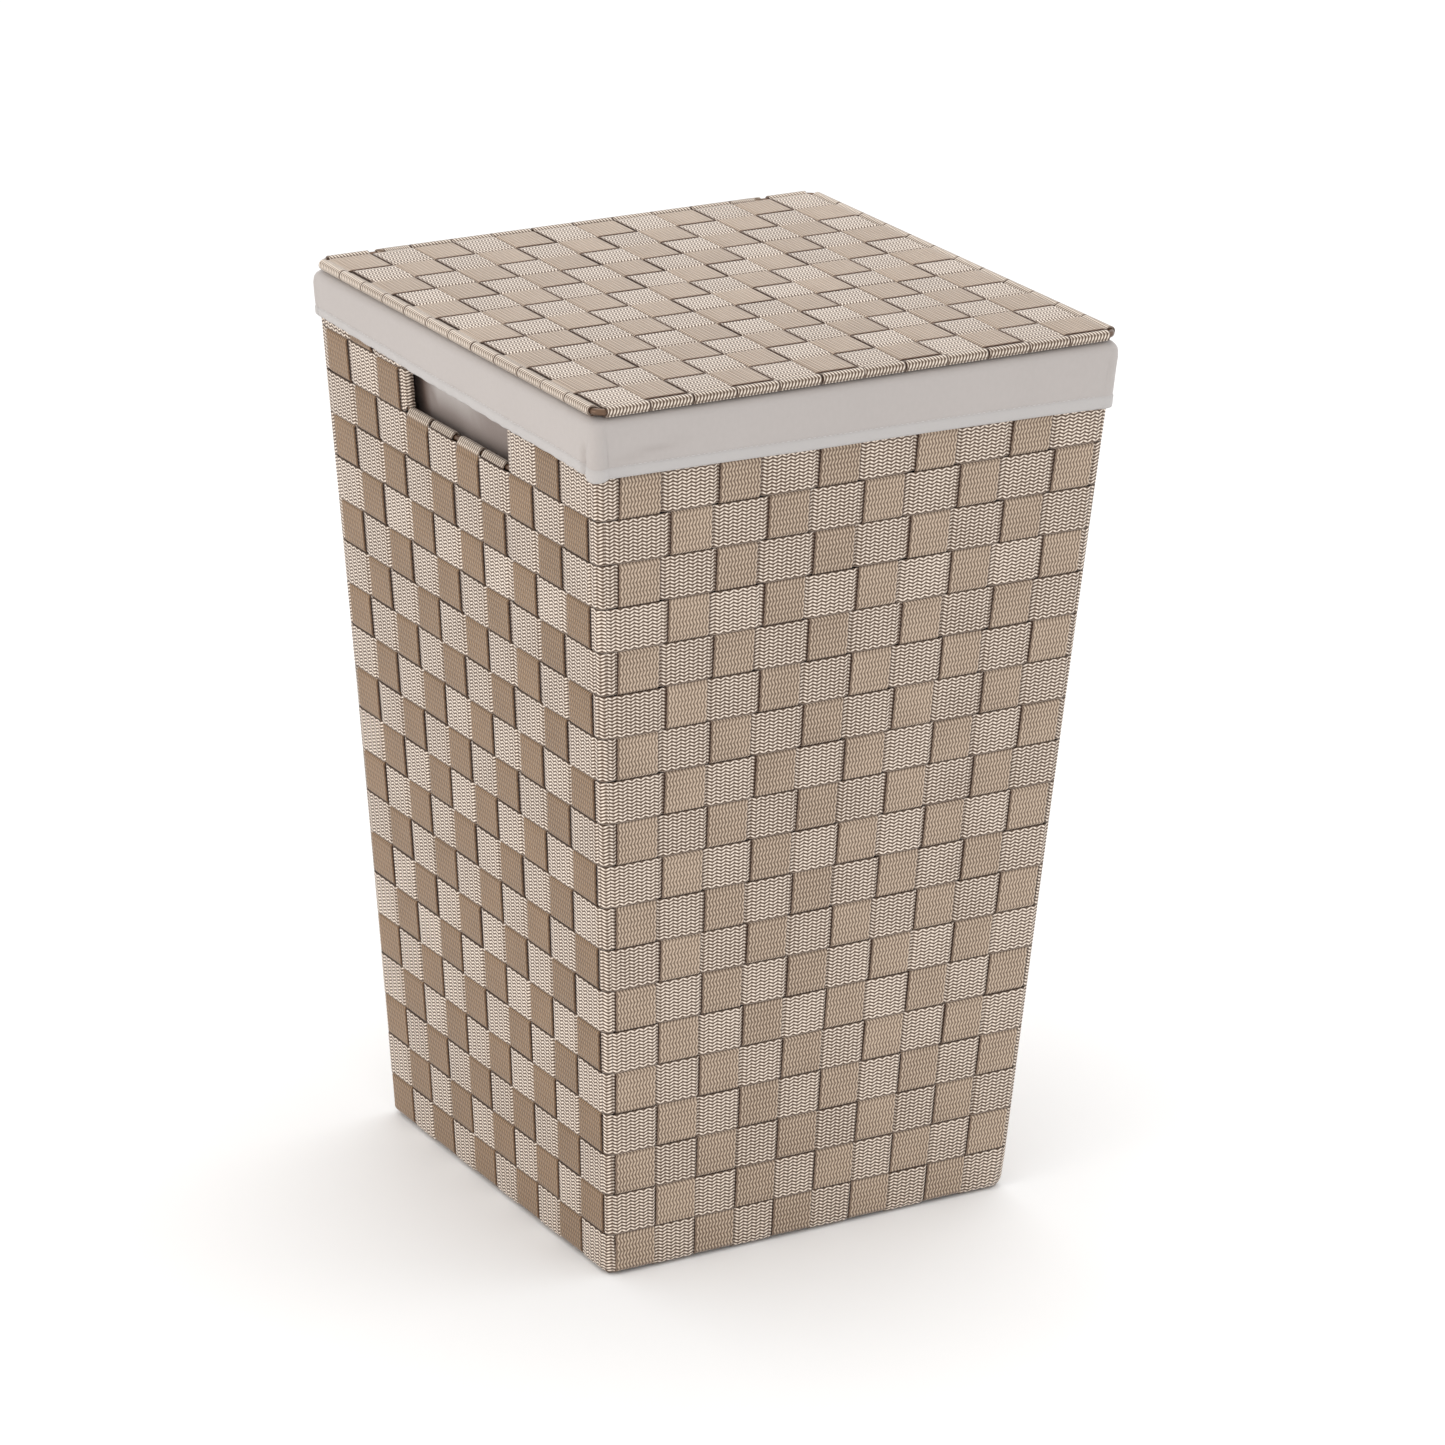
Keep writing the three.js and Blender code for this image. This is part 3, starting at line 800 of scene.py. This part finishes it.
def cuff_profile():
    """The cuff from its seam with the bag, over the rim and down to the hem and its turned edge.
    Each row is (kind, value): in is a depth inside, fold an angle over the rim, out a share of the
    way down to the hem, and turn a share of the turned edge inside the hem."""
    rows = [("in", z * MM) for z in (7, 4.5, 2)]
    rows += [("fold", angle) for angle in range(180, -1, -15)]
    rows += [("out", share) for share in (0.12, 0.25, 0.38, 0.5, 0.62, 0.72)]
    rows += [("out", share) for share in (HEM_LINE, 0.8, 0.825, 0.9, 0.97, 1.0)]
    rows += [("turn", share) for share in (0.0, 0.3, 0.7, 1.0)]
    return rows


def cuff_point(kind, value, face, lateral, angle):
    """A point of the cuff. lateral is along the face; angle runs round the corner after it."""
    middle = wall_half(RIM_Z) - WIRE_DEPTH - 0.6 * MM
    if kind == "in":
        half, z, radius = middle - 6.4 * MM, RIM_Z - value, 9 * MM
    elif kind == "fold":
        turn = math.radians(value)
        half = middle + CUFF_FOLD_R * math.cos(turn)
        z = RIM_Z + CUFF_FOLD_RISE * math.sin(turn)
        radius = 7.4 * MM - 1.6 * MM * math.cos(turn)
    else:
        far = wall_half(RIM_Z)
        spot = turned(np.array([lateral if angle is None else far, -far, 0]), face)
        hem = hem_height(spot[0], spot[1])
        share = value if kind == "out" else 1 - HEM_TURN * value
        z = RIM_Z + (hem - RIM_Z) * share
        half = wall_half(z) + cuff_stand(share, lateral, face, angle)
        radius = (6 + 2.5 * share) * MM
        if kind == "turn":
            half -= 1.3 * MM
            z += 0.35 * MM
    centre = half - radius
    if angle is None:
        past = max(abs(lateral) - centre + 0.5 * MM, 0)
        return turned(np.array([lateral - math.copysign(0.98 * past, lateral), -half, z]), face)
    if kind in ("out", "turn"):
        bulge, drop = corner_flare(share, face)
        radius += bulge * math.sin(2 * angle)
        z -= drop * math.sin(2 * angle)
    return turned(round_corner(centre, radius, angle, z), face)


def bump(x, width):
    """A smooth hill: 1 in the middle and 0 beyond the width."""
    return float(smooth(1 - abs(x) / width))


def corner_flare(share, face):
    """How far the cuff swells at a corner, and how far its hem hangs down there. It is fullest at
    the corner between the left and front faces."""
    if face != 3:
        return 1.0 * MM, 0.0
    swell = 1.0 + 1.5 * bump(share - 0.5, 0.35) + 1.4 * smooth((share - 0.75) / 0.25)
    return swell * MM, 1.8 * MM * smooth((share - 0.6) / 0.4)


def cuff_creases(share, lateral, face):
    """A long crease at the left end of the front, a pleat at the front end of the left face, and the
    pucker of the hem's seam on the other faces."""
    if face == 0:
        line = 0.66 - (lateral + CUFF_REACH) / (196 * MM)
        return 0.9 * MM * bump((share - line) * 24 * MM, 3 * MM) * bump(lateral + 130 * MM, 34 * MM)
    pucker = 0.3 * MM * math.sin(lateral / (2.3 * MM) + 1.5 * math.sin(lateral / (11 * MM)))
    pucker *= smooth((share - 0.68) / 0.12) * (1.0 if face == 3 else 0.5)
    middle = 153 * MM - 2.5 * MM * bump(share - 0.6, 0.4)
    pleat = 1.3 * MM * bump(lateral - middle, 3.5 * MM) * smooth((share - 0.25) / 0.3)
    return pucker - (pleat if face == 3 else 0)


def cuff_stand(share, lateral, face, angle):
    """How far the hanging cuff stands off the weave."""
    stand = (0.8 + 1.1 * share) * MM
    if angle is None:
        stand += cuff_creases(share, lateral, face)
    place = lateral if angle is None else 0.16
    slow = noise.noise(Vector((place / 0.07, share * 0.9, face * 5.7 + 1.3)))
    crease = noise.noise(Vector((place / 0.035 + share * 1.6, share * 0.5, face * 3.9 + 8.2)))
    stand += (0.55 * slow + 0.5 * crease ** 2) * MM * smooth(share * 2.5)
    if share > 0.8:
        stand += 0.35 * MM        # the hem is double
    if abs(share - HEM_LINE) < 0.01:
        stand -= 0.1 * MM         # and the stitches draw it in
    return stand


def cuff_shade(kind, value, face, lateral, angle):
    """A little shade in the bottom of the crease and of the pleat."""
    if kind != "out" or angle is not None or face not in (0, 3):
        return 0.0
    depth = abs(cuff_creases(min(value, 0.68), lateral, face)) / MM
    return 0.16 * min(depth, 1.5)


def cuff_stations():
    """(face, lateral, angle) round the cuff. The back face has lines at the sides of the hinge slots."""
    found = []
    for face in range(4):
        places = list(np.linspace(-CUFF_REACH, CUFF_REACH, 141))
        if face == 2:
            slots = [s * HINGE_X + e * SLOT_HALF for s in (-1, 1) for e in (-1, 1)]
            places = [p for p in places if min(abs(p - s) for s in slots) > 1 * MM] + slots
        found += [(face, p, None) for p in sorted(places)]
        found += [(face, 0.0, math.radians(a)) for a in (0, 9, 20, 32, 45, 58, 70, 81, 90)]
    return found


def build_cuff(material):
    rows = cuff_profile()
    stations = cuff_stations()
    verts = [cuff_point(kind, value, *station) for station in stations for kind, value in rows]
    faces = []
    uv = []
    count = len(rows)
    depth = np.linspace(0, CUFF_WIDTH, count)
    perimeter = np.linspace(0, 8 * RIM_HALF, len(stations) + 1)
    for s, (face, lateral, _) in enumerate(stations):
        n = (s + 1) % len(stations)
        ahead = stations[n][1]
        off_hinge = max(abs(abs(place) - HINGE_X) for place in (lateral, ahead))
        in_slot = face == 2 and off_hinge < SLOT_HALF * 1.01
        for i in range(count - 1):
            if in_slot and "fold" in (rows[i][0], rows[i + 1][0]):
                continue
            faces.append((s * count + i, n * count + i, n * count + i + 1, s * count + i + 1))
            uv += [(perimeter[s], depth[i]), (perimeter[s + 1], depth[i]),
                   (perimeter[s + 1], depth[i + 1]), (perimeter[s], depth[i + 1])]
    shade = [cuff_shade(kind, value, face, lateral, angle)
             for face, lateral, angle in stations for kind, value in rows]
    piece = make_object("liner_cuff_cloth", verts, faces, material)
    set_attribute(piece, "shade", shade)
    set_uv(piece, uv)
    hem = [1.0 if kind == "turn" or kind == "out" and value > HEM_LINE else 0.0
           for _ in stations for kind, value in rows]
    set_attribute(piece, "hem", hem)
    thicken(piece, CLOTH_T)
    return own(piece, "basket", "liner", "liner_cuff")


def thicken(piece, thickness):
    """Gives a cloth surface its thickness, half to each side."""
    solid = piece.modifiers.new("thickness", "SOLIDIFY")
    solid.thickness = thickness
    solid.offset = 0
    with bpy.context.temp_override(object=piece, active_object=piece, selected_objects=[piece]):
        bpy.ops.object.modifier_apply(modifier=solid.name)


def build_stitches(material):
    """The row of stitches above the hem."""
    verts = []
    faces = []
    reach = 146 * MM
    length = 0.72 * STITCH_PITCH
    for face in range(4):
        out = turned(np.array([0, -1.0, 0]), face)
        for start in np.arange(-reach, reach, STITCH_PITCH):
            line = [cuff_point("out", HEM_LINE, face, start + k * length, None) for k in (0, 0.5, 1)]
            bead(verts, faces, line, out)
    piece = make_object("liner_hem_stitches", verts, faces, material)
    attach(piece, "basket")
    return piece


def bead(verts, faces, line, out):
    """One stitch: a short thread that rises from the cloth and sinks again."""
    up = np.array([0, 0, 1.0])
    start = len(verts)
    for point, lift, size in zip(line, (0.25, 0.62, 0.25), (0.5, 1, 0.5)):
        centre = point + out * lift * MM
        for k in range(6):
            across, along = heading(60 * k)
            verts.append(centre + STITCH_R * size * (across * out + along * up))
    for r in range(2):
        for k in range(6):
            n = (k + 1) % 6
            faces.append((start + r * 6 + k, start + r * 6 + n, start + r * 6 + 6 + n, start + r * 6 + 6 + k))
    faces.append(tuple(start + k for k in range(5, -1, -1)))
    faces.append(tuple(start + 12 + k for k in range(6)))


def bag_half(z):
    return wall_half(z) - BAG_GAP


def bag_ring(z, shrink, stations, fold):
    """One level ring of the bag. shrink draws it towards the middle, for the floor."""
    half = bag_half(z) - shrink
    radius = min(14 * MM + 10 * MM * (1 - z / RIM_Z), half * 0.9)
    points = []
    for face, share, angle in stations:
        if angle is None:
            lateral = share * (half - radius)
            waves = noise.noise(Vector((share * 2.3, z / 0.26, face * 4.1 + 0.7)))
            fine = noise.noise(Vector((share * 6.5 + z * 3, z / 0.12, face * 2.7 + 5.5)))
            inward = fold * (3.4 * MM * (0.55 + waves) + 1.3 * MM * fine) * (1 - share ** 4)
            points.append(turned(np.array([lateral, -(half - max(inward, 0)), z]), face))
        else:
            points.append(turned(round_corner(half - radius, radius, angle, z), face))
    return points


def hole_shadow(x, y, z):
    """Shade on the outside of the bag behind a handle hole: deep at one end and along the bottom,
    and softer towards the other end."""
    if abs(x) < abs(y) or z < BAR_Z - 20 * MM:
        return 0.0
    leg = leg_lateral(z)
    along = (leg + math.copysign(1, x) * y) / (2 * leg)
    up = (z - BAR_Z) / (CUFF_LOW - BAR_Z)
    deep = smooth((0.14 - along) / 0.1)
    below = 0.8 * smooth((0.55 - up) / 0.5)
    soft = 0.6 * smooth((along - 0.36) / 0.3)
    return float(max(deep, below, soft))


def bag_rings(stations):
    """The bag's rings of points from the rim down and over the floor to its middle, and the length of
    cloth from the rim to each."""
    floor_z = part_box("liner_bag")[0].z + CLOTH_T
    top_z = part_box("liner_bag")[1].z + 0.6 * MM
    bend_z = floor_z + BAG_FOOT_R
    rings = []
    lengths = []
    for z in np.linspace(top_z, bend_z, 46):
        fold = float(smooth((top_z - z) / 0.05) * smooth((z - bend_z) / 0.04))
        rings.append(bag_ring(z, 0, stations, fold))
        lengths.append(top_z - z)
    for angle in (25, 50, 70, 90):
        inward, down = BAG_FOOT_R * (1 - heading(angle)[0]), BAG_FOOT_R * heading(angle)[1]
        rings.append(bag_ring(bend_z - down, inward, stations, 0))
        lengths.append(lengths[-1] + 4 * MM)
    span = bag_half(floor_z) - BAG_FOOT_R
    for share in np.linspace(0.06, 0.97, 16):
        ring = bag_ring(floor_z, BAG_FOOT_R + span * share, stations, 0)
        for point in ring:
            swell = noise.noise(Vector((point[0] / 0.07, point[1] / 0.07, 9.4)))
            point[2] += 1.4 * MM * abs(swell) * math.sin(math.pi * min(share * 1.1, 1))
        rings.append(ring)
        lengths.append(lengths[-1] + span / 16)
    return rings, lengths


def build_bag(material):
    stations = []
    for face in range(4):
        stations += [(face, share, None) for share in np.linspace(-1, 1, 33)]
        stations += [(face, 0, math.radians(angle)) for angle in (15, 30, 45, 60, 75)]
    rings, lengths = bag_rings(stations)
    count = len(stations)
    faces = []
    uv = []
    around = np.linspace(0, 8 * bag_half(RIM_Z / 2), count + 1)
    for r in range(len(rings) - 1):
        for i in range(count):
            n = (i + 1) % count
            faces.append((r * count + i, r * count + n, (r + 1) * count + n, (r + 1) * count + i))
            uv += [(around[i], lengths[r]), (around[i + 1], lengths[r]),
                   (around[i + 1], lengths[r + 1]), (around[i], lengths[r + 1])]
    last = (len(rings) - 1) * count
    faces.append(tuple(last + i for i in range(count)))
    uv += [(around[i], lengths[-1]) for i in range(count)]
    piece = make_object("liner_bag_cloth", [point for ring in rings for point in ring], faces, material)
    set_uv(piece, uv)
    thicken(piece, CLOTH_T)
    shade_outside(piece)
    return own(piece, "basket", "liner", "liner_bag")


def shade_outside(bag):
    """Paints shade on the outer side of the bag behind the handle holes."""
    points = np.array([vertex.co for vertex in bag.data.vertices])
    shells = points.reshape(2, -1, 3)
    outer = np.abs(shells[:, 0, :2]).max(axis=1).argmax()
    shade = np.zeros(shells.shape[:2])
    shade[outer] = [hole_shadow(*point) for point in shells[outer]]
    set_attribute(bag, "shade", shade.ravel())


# ---- Materials ----

class Graph:
    """A small helper for building a material's node tree."""

    def __init__(self, name):
        self.material = bpy.data.materials.new(name)
        self.material.use_nodes = True
        self.tree = self.material.node_tree
        self.shader = next(n for n in self.tree.nodes if n.type == "BSDF_PRINCIPLED")

    def feed(self, socket, value):
        if isinstance(value, bpy.types.NodeSocket):
            self.tree.links.new(value, socket)
        else:
            socket.default_value = value

    def node(self, kind, **inputs):
        node = self.tree.nodes.new(kind)
        for key, value in inputs.items():
            self.feed(node.inputs[key], value)
        return node

    def calc(self, operation, a, b=0.0, c=0.0):
        node = self.tree.nodes.new("ShaderNodeMath")
        node.operation = operation
        for socket, value in zip(node.inputs, (a, b, c)):
            self.feed(socket, value)
        return node.outputs[0]

    def blend(self, factor, a, b):
        node = self.tree.nodes.new("ShaderNodeMix")
        node.data_type = "RGBA"
        self.feed(node.inputs["Factor"], factor)
        self.feed(node.inputs[6], a)
        self.feed(node.inputs[7], b)
        return node.outputs[2]

    def noise(self, vector, scale, detail=2.0):
        node = self.node("ShaderNodeTexNoise", Vector=vector, Scale=scale, Detail=detail)
        return node.outputs["Fac"]

    def attribute(self, name):
        node = self.tree.nodes.new("ShaderNodeAttribute")
        node.attribute_name = name
        return node.outputs["Fac"]

    def uv(self):
        node = self.tree.nodes.new("ShaderNodeUVMap")
        node.uv_map = "strap"
        parts = self.node("ShaderNodeSeparateXYZ", Vector=node.outputs[0])
        return node.outputs[0], parts.outputs[0], parts.outputs[1]

    def bump(self, height, distance, strength):
        node = self.node("ShaderNodeBump", Height=height, Distance=distance, Strength=strength)
        self.tree.links.new(node.outputs[0], self.shader.inputs["Normal"])


YARN_PITCH = 2.0 * MM         # from one line of the herringbone to the next
ZIGZAG = 5.5 * MM             # length of one zig and zag
ZIGZAG_REACH = 0.62           # height of the zigzag, in yarn pitches
COTTON_PITCH = 0.55 * MM

# ---- Colours ----
# Painted sheen: one webbing in a lighter, more contrasty copy for bands and lengthwise lid straps and a
# darker copy for uprights and crosswise lid straps.
WEBBING_SHEEN_LIT = (0.100, 0.060, 0.036), (0.92, 0.79, 0.67)
WEBBING_SHEEN_DIM = (0.140, 0.092, 0.060), (0.60, 0.465, 0.35)
# Painted shade: the uprights of the side faces, darker and warmer for the light that falls there.
WEBBING_SIDE_SHADE = (0.105, 0.062, 0.031), (0.350, 0.214, 0.112)
# Painted highlight on the stitches of a strap rolled round a wire.
WEBBING_ROLL_HIGHLIGHT = (0.82, 0.71, 0.60, 1)
# Dark brown of the painted shade at strap crossings and on strap sides.
PAINTED_CREVICE_SHADE = (0.060, 0.023, 0.010, 1)
COTTON = (0.415, 0.380, 0.362, 1), (0.515, 0.477, 0.458, 1)
COTTON_HEM = (0.52, 0.51, 0.505, 1)
COTTON_SHADE = (0.115, 0.060, 0.040, 1)
THREAD = (0.50, 0.48, 0.47, 1), (0.66, 0.64, 0.63, 1)
BRONZE = (0.070, 0.035, 0.018, 1), (0.170, 0.095, 0.052, 1)
FLOOR = (0.90, 0.90, 0.90, 1), (0.92, 0.92, 0.92, 1)


def webbing_material(name, colours, contrast, level, width):
    """Herringbone webbing. The yarn lines run along the strap in a zigzag of short stitches. Where the
    strap is stretched round a wire the stitches get a painted highlight."""
    g = Graph(name)
    uv, across, along = g.uv()
    swing = g.calc("DIVIDE", g.calc("PINGPONG", along, ZIGZAG / 2), ZIGZAG / 2)
    line = g.calc("ADD", g.calc("DIVIDE", across, YARN_PITCH), g.calc("MULTIPLY", swing, ZIGZAG_REACH))
    ridge = g.calc("MULTIPLY_ADD", g.calc("COSINE", g.calc("MULTIPLY", line, 2 * math.pi)), 0.5, 0.5)
    knots = g.calc("COSINE", g.calc("MULTIPLY", along, 4 * math.pi / ZIGZAG))
    ridge = g.calc("MULTIPLY", ridge, g.calc("MULTIPLY_ADD", knots, -0.24, 0.76))
    fibre = g.noise(uv, 2600.0, 3.0)
    thread = g.calc("ADD", ridge, g.calc("MULTIPLY", g.calc("SUBTRACT", fibre, 0.5), 0.35))
    patch = g.noise(uv, 38.0)
    thread = g.calc("MULTIPLY_ADD", g.calc("SUBTRACT", thread, 0.39), contrast, level)
    thread = g.calc("ADD", thread, g.calc("MULTIPLY", g.calc("SUBTRACT", patch, 0.5), 0.3))
    thread = g.calc("ADD", thread, g.calc("MULTIPLY", g.attribute("tone"), 0.07))
    thread = g.node("ShaderNodeClamp", Value=thread).outputs[0]
    dark, light = colours
    # A painted highlight on the stitches where the strap is rolled round a wire.
    stitch = g.blend(g.attribute("roll"), (*light, 1), WEBBING_ROLL_HIGHLIGHT)
    colour = g.blend(thread, (*dark, 1), stitch)
    # Painted shade on a strap's sides, where the gap beside it lies in shade.
    off_top = g.calc("SUBTRACT", g.calc("ABSOLUTE", across), width / 2)
    edge = g.node("ShaderNodeClamp", Value=g.calc("MULTIPLY", off_top, 2500.0)).outputs[0]
    # Painted shade at crossings and on the strap's sides, mixed towards the dark brown.
    shade = g.calc("MAXIMUM", g.attribute("painted_shade"), g.calc("MULTIPLY", edge, 0.72))
    colour = g.blend(g.calc("MULTIPLY", shade, 0.95), colour, PAINTED_CREVICE_SHADE)
    g.feed(g.shader.inputs["Base Color"], colour)
    g.feed(g.shader.inputs["Roughness"], g.calc("MULTIPLY_ADD", ridge, -0.14, 0.66))
    g.shader.inputs["Sheen Weight"].default_value = 0.25
    g.shader.inputs["Sheen Roughness"].default_value = 0.45
    g.shader.inputs["Specular IOR Level"].default_value = 0.35
    g.bump(g.calc("ADD", ridge, g.calc("MULTIPLY", fibre, 0.3)), 0.35 * MM, 0.7)
    return g.material


def liner_material(name):
    """Plain cotton: a fine weave of crossed threads, lighter where the hem lies double."""
    g = Graph(name)
    uv, across, along = g.uv()
    weft = g.calc("SINE", g.calc("MULTIPLY", across, 2 * math.pi / COTTON_PITCH))
    warp = g.calc("SINE", g.calc("MULTIPLY", along, 2 * math.pi / COTTON_PITCH))
    weave = g.calc("MULTIPLY_ADD", g.calc("MULTIPLY", weft, warp), 0.5, 0.5)
    slub = g.noise(uv, 420.0, 3.0)
    patch = g.noise(uv, 16.0, 3.0)
    mixed = g.calc("ADD", g.calc("MULTIPLY", weave, 0.25), g.calc("MULTIPLY", slub, 0.35))
    mixed = g.calc("ADD", mixed, g.calc("MULTIPLY", patch, 0.4))
    colour = g.blend(mixed, *COTTON)
    colour = g.blend(g.calc("MULTIPLY", g.attribute("hem"), 0.5), colour, COTTON_HEM)
    colour = g.blend(g.calc("MULTIPLY", g.attribute("shade"), 0.88), colour, COTTON_SHADE)
    g.feed(g.shader.inputs["Base Color"], colour)
    g.feed(g.shader.inputs["Roughness"], g.calc("MULTIPLY_ADD", slub, 0.15, 0.78))
    g.shader.inputs["Sheen Weight"].default_value = 0.15
    g.shader.inputs["Specular IOR Level"].default_value = 0.25
    g.bump(g.calc("ADD", weave, slub), 0.12 * MM, 0.5)
    return g.material


def thread_material(name):
    g = Graph(name)
    place = g.tree.nodes.new("ShaderNodeTexCoord").outputs["Object"]
    twist = g.noise(place, 2400.0)
    g.feed(g.shader.inputs["Base Color"], g.blend(twist, *THREAD))
    g.feed(g.shader.inputs["Roughness"], g.calc("MULTIPLY_ADD", twist, 0.2, 0.6))
    g.bump(twist, 0.1 * MM, 0.4)
    return g.material


def wire_material(name):
    """Bronze-brown enamel, a little worn and mottled."""
    g = Graph(name)
    place = g.tree.nodes.new("ShaderNodeTexCoord").outputs["Object"]
    mottle = g.noise(place, 160.0, 4.0)
    grain = g.noise(place, 1500.0)
    g.feed(g.shader.inputs["Base Color"], g.blend(mottle, *BRONZE))
    g.feed(g.shader.inputs["Metallic"], g.calc("MULTIPLY_ADD", mottle, 0.3, 0.35))
    g.feed(g.shader.inputs["Roughness"], g.calc("MULTIPLY_ADD", mottle, 0.2, 0.26))
    g.shader.inputs["Coat Weight"].default_value = 0.3
    g.bump(grain, 0.05 * MM, 0.3)
    return g.material


def floor_material():
    g = Graph("floor_white")
    place = g.tree.nodes.new("ShaderNodeTexCoord").outputs["Object"]
    haze = g.noise(place, 1.2)
    g.feed(g.shader.inputs["Base Color"], g.blend(haze, *FLOOR))
    g.shader.inputs["Roughness"].default_value = 0.9
    g.shader.inputs["Specular IOR Level"].default_value = 0.1
    return g.material


# ---- Camera, light and floor ----

def place_camera():
    """The camera stands left of the front, above the lid, and far away through a long lens."""
    width = cad_high.x - cad_low.x
    azimuth, elevation, roll = math.radians(-30.58), math.radians(20.10), math.radians(1.11)
    back = Vector((math.sin(azimuth) * math.cos(elevation), -math.cos(azimuth) * math.cos(elevation),
                   math.sin(elevation)))
    level = Vector((math.cos(azimuth), math.sin(azimuth), 0))
    rise = back.cross(level)
    right = math.cos(roll) * level + math.sin(roll) * rise
    up = math.cos(roll) * rise - math.sin(roll) * level
    target = width * (0.050 * right + 0.761 * up)
    data = bpy.data.cameras.new("camera")
    data.lens = 153.2
    data.sensor_width = 36
    data.clip_end = 50
    camera = bpy.data.objects.new("camera", data)
    camera.matrix_world = Matrix((right, up, back)).transposed().to_4x4()
    camera.location = target + back * 11.005 * width
    bpy.context.scene.collection.objects.link(camera)
    bpy.context.scene.camera = camera


def area_light(name, place, aim, size, power, colour=(1, 1, 1)):
    data = bpy.data.lights.new(name, "AREA")
    data.shape = "RECTANGLE"
    data.size, data.size_y = size
    data.energy = power
    data.color = colour
    light = bpy.data.objects.new(name, data)
    light.location = place
    light.rotation_mode = "QUATERNION"
    light.rotation_quaternion = (Vector(aim) - Vector(place)).to_track_quat("-Z", "Y")
    bpy.context.scene.collection.objects.link(light)


def build_studio():
    mesh = bpy.data.meshes.new("floor")
    reach = 9.0
    mesh.from_pydata([(-reach, -reach, 0), (reach, -reach, 0), (reach, reach, 0), (-reach, reach, 0)], [],
                     [(0, 1, 2, 3)])
    mesh.materials.append(floor_material())
    floor = bpy.data.objects.new("floor", mesh)
    floor.location.z = -0.2 * MM
    bpy.context.scene.collection.objects.link(floor)
    world = bpy.data.worlds.new("studio")
    world.use_nodes = True
    background = world.node_tree.nodes["Background"]
    background.inputs["Color"].default_value = (1, 1, 1, 1)
    background.inputs["Strength"].default_value = 1.08
    bpy.context.scene.world = world
    bpy.context.scene.view_settings.view_transform = "Standard"
    area_light("overhead", (0.5, 0.6, 2.6), (0, 0, 0.3), (1.8, 1.8), 14)
    area_light("from_right", (2.2, -1.2, 1.5), (0, 0, 0.25), (1.4, 1.6), 5)
    area_light("from_left", (-2.6, -0.3, 1.0), (0, 0, 0.3), (1.2, 1.6), 13, (1.0, 0.90, 0.80))


# ---- Everything in its place ----

place_camera()
build_studio()

# Copies of one webbing, whose colours paint the sheen and shade that each strap direction and face shows.
sheen_lit_webbing = webbing_material("webbing_painted_sheen_lit", WEBBING_SHEEN_LIT, 1.9, 0.315, BAND_W)
sheen_dim_webbing = webbing_material("webbing_painted_sheen_dim", WEBBING_SHEEN_DIM, 1.4, 0.46, UPRIGHT_W)
side_shade_webbing = webbing_material("webbing_painted_side_shade", WEBBING_SIDE_SHADE, 1.2, 0.46, UPRIGHT_W)
cotton = liner_material("liner_cotton")
thread = thread_material("hem_thread")
bronze = wire_material("bronze_enamel")

for number in range(1, COLUMNS + 1):
    tag = f"{number:02d}"
    build_upright("front_upright_" + tag, number, True, False, sheen_dim_webbing, number)
    # The side uprights take the copy with painted shade.
    build_upright("side_upright_" + tag, number, False, number in HOLE_COLUMNS, side_shade_webbing, number + 20)

for number in range(1, ROWS + 1):
    tag = f"band_{number:02d}"
    if number <= HOLE_ROW:
        build_band(tag, number, None, sheen_lit_webbing, number + 40)
    else:
        build_band(tag + "_front", number, "front", sheen_lit_webbing, number + 40)
        build_band(tag + "_back", number, "back", sheen_lit_webbing, number + 60)

for number in range(1, LID_STRAPS + 1):
    tag = f"{number:02d}"
    build_lid_strap("lid_lengthwise_" + tag, number, True, "lid_straps_lengthwise", sheen_lit_webbing, number + 80)
    build_lid_strap("lid_crosswise_" + tag, number, False, "lid_straps_crosswise", sheen_dim_webbing, number + 100)

build_wires(bronze)
build_hinge_loop("left", -1, sheen_dim_webbing)
build_hinge_loop("right", 1, sheen_dim_webbing)

bag = build_bag(cotton)
cuff = build_cuff(cotton)
stitches = build_stitches(thread)
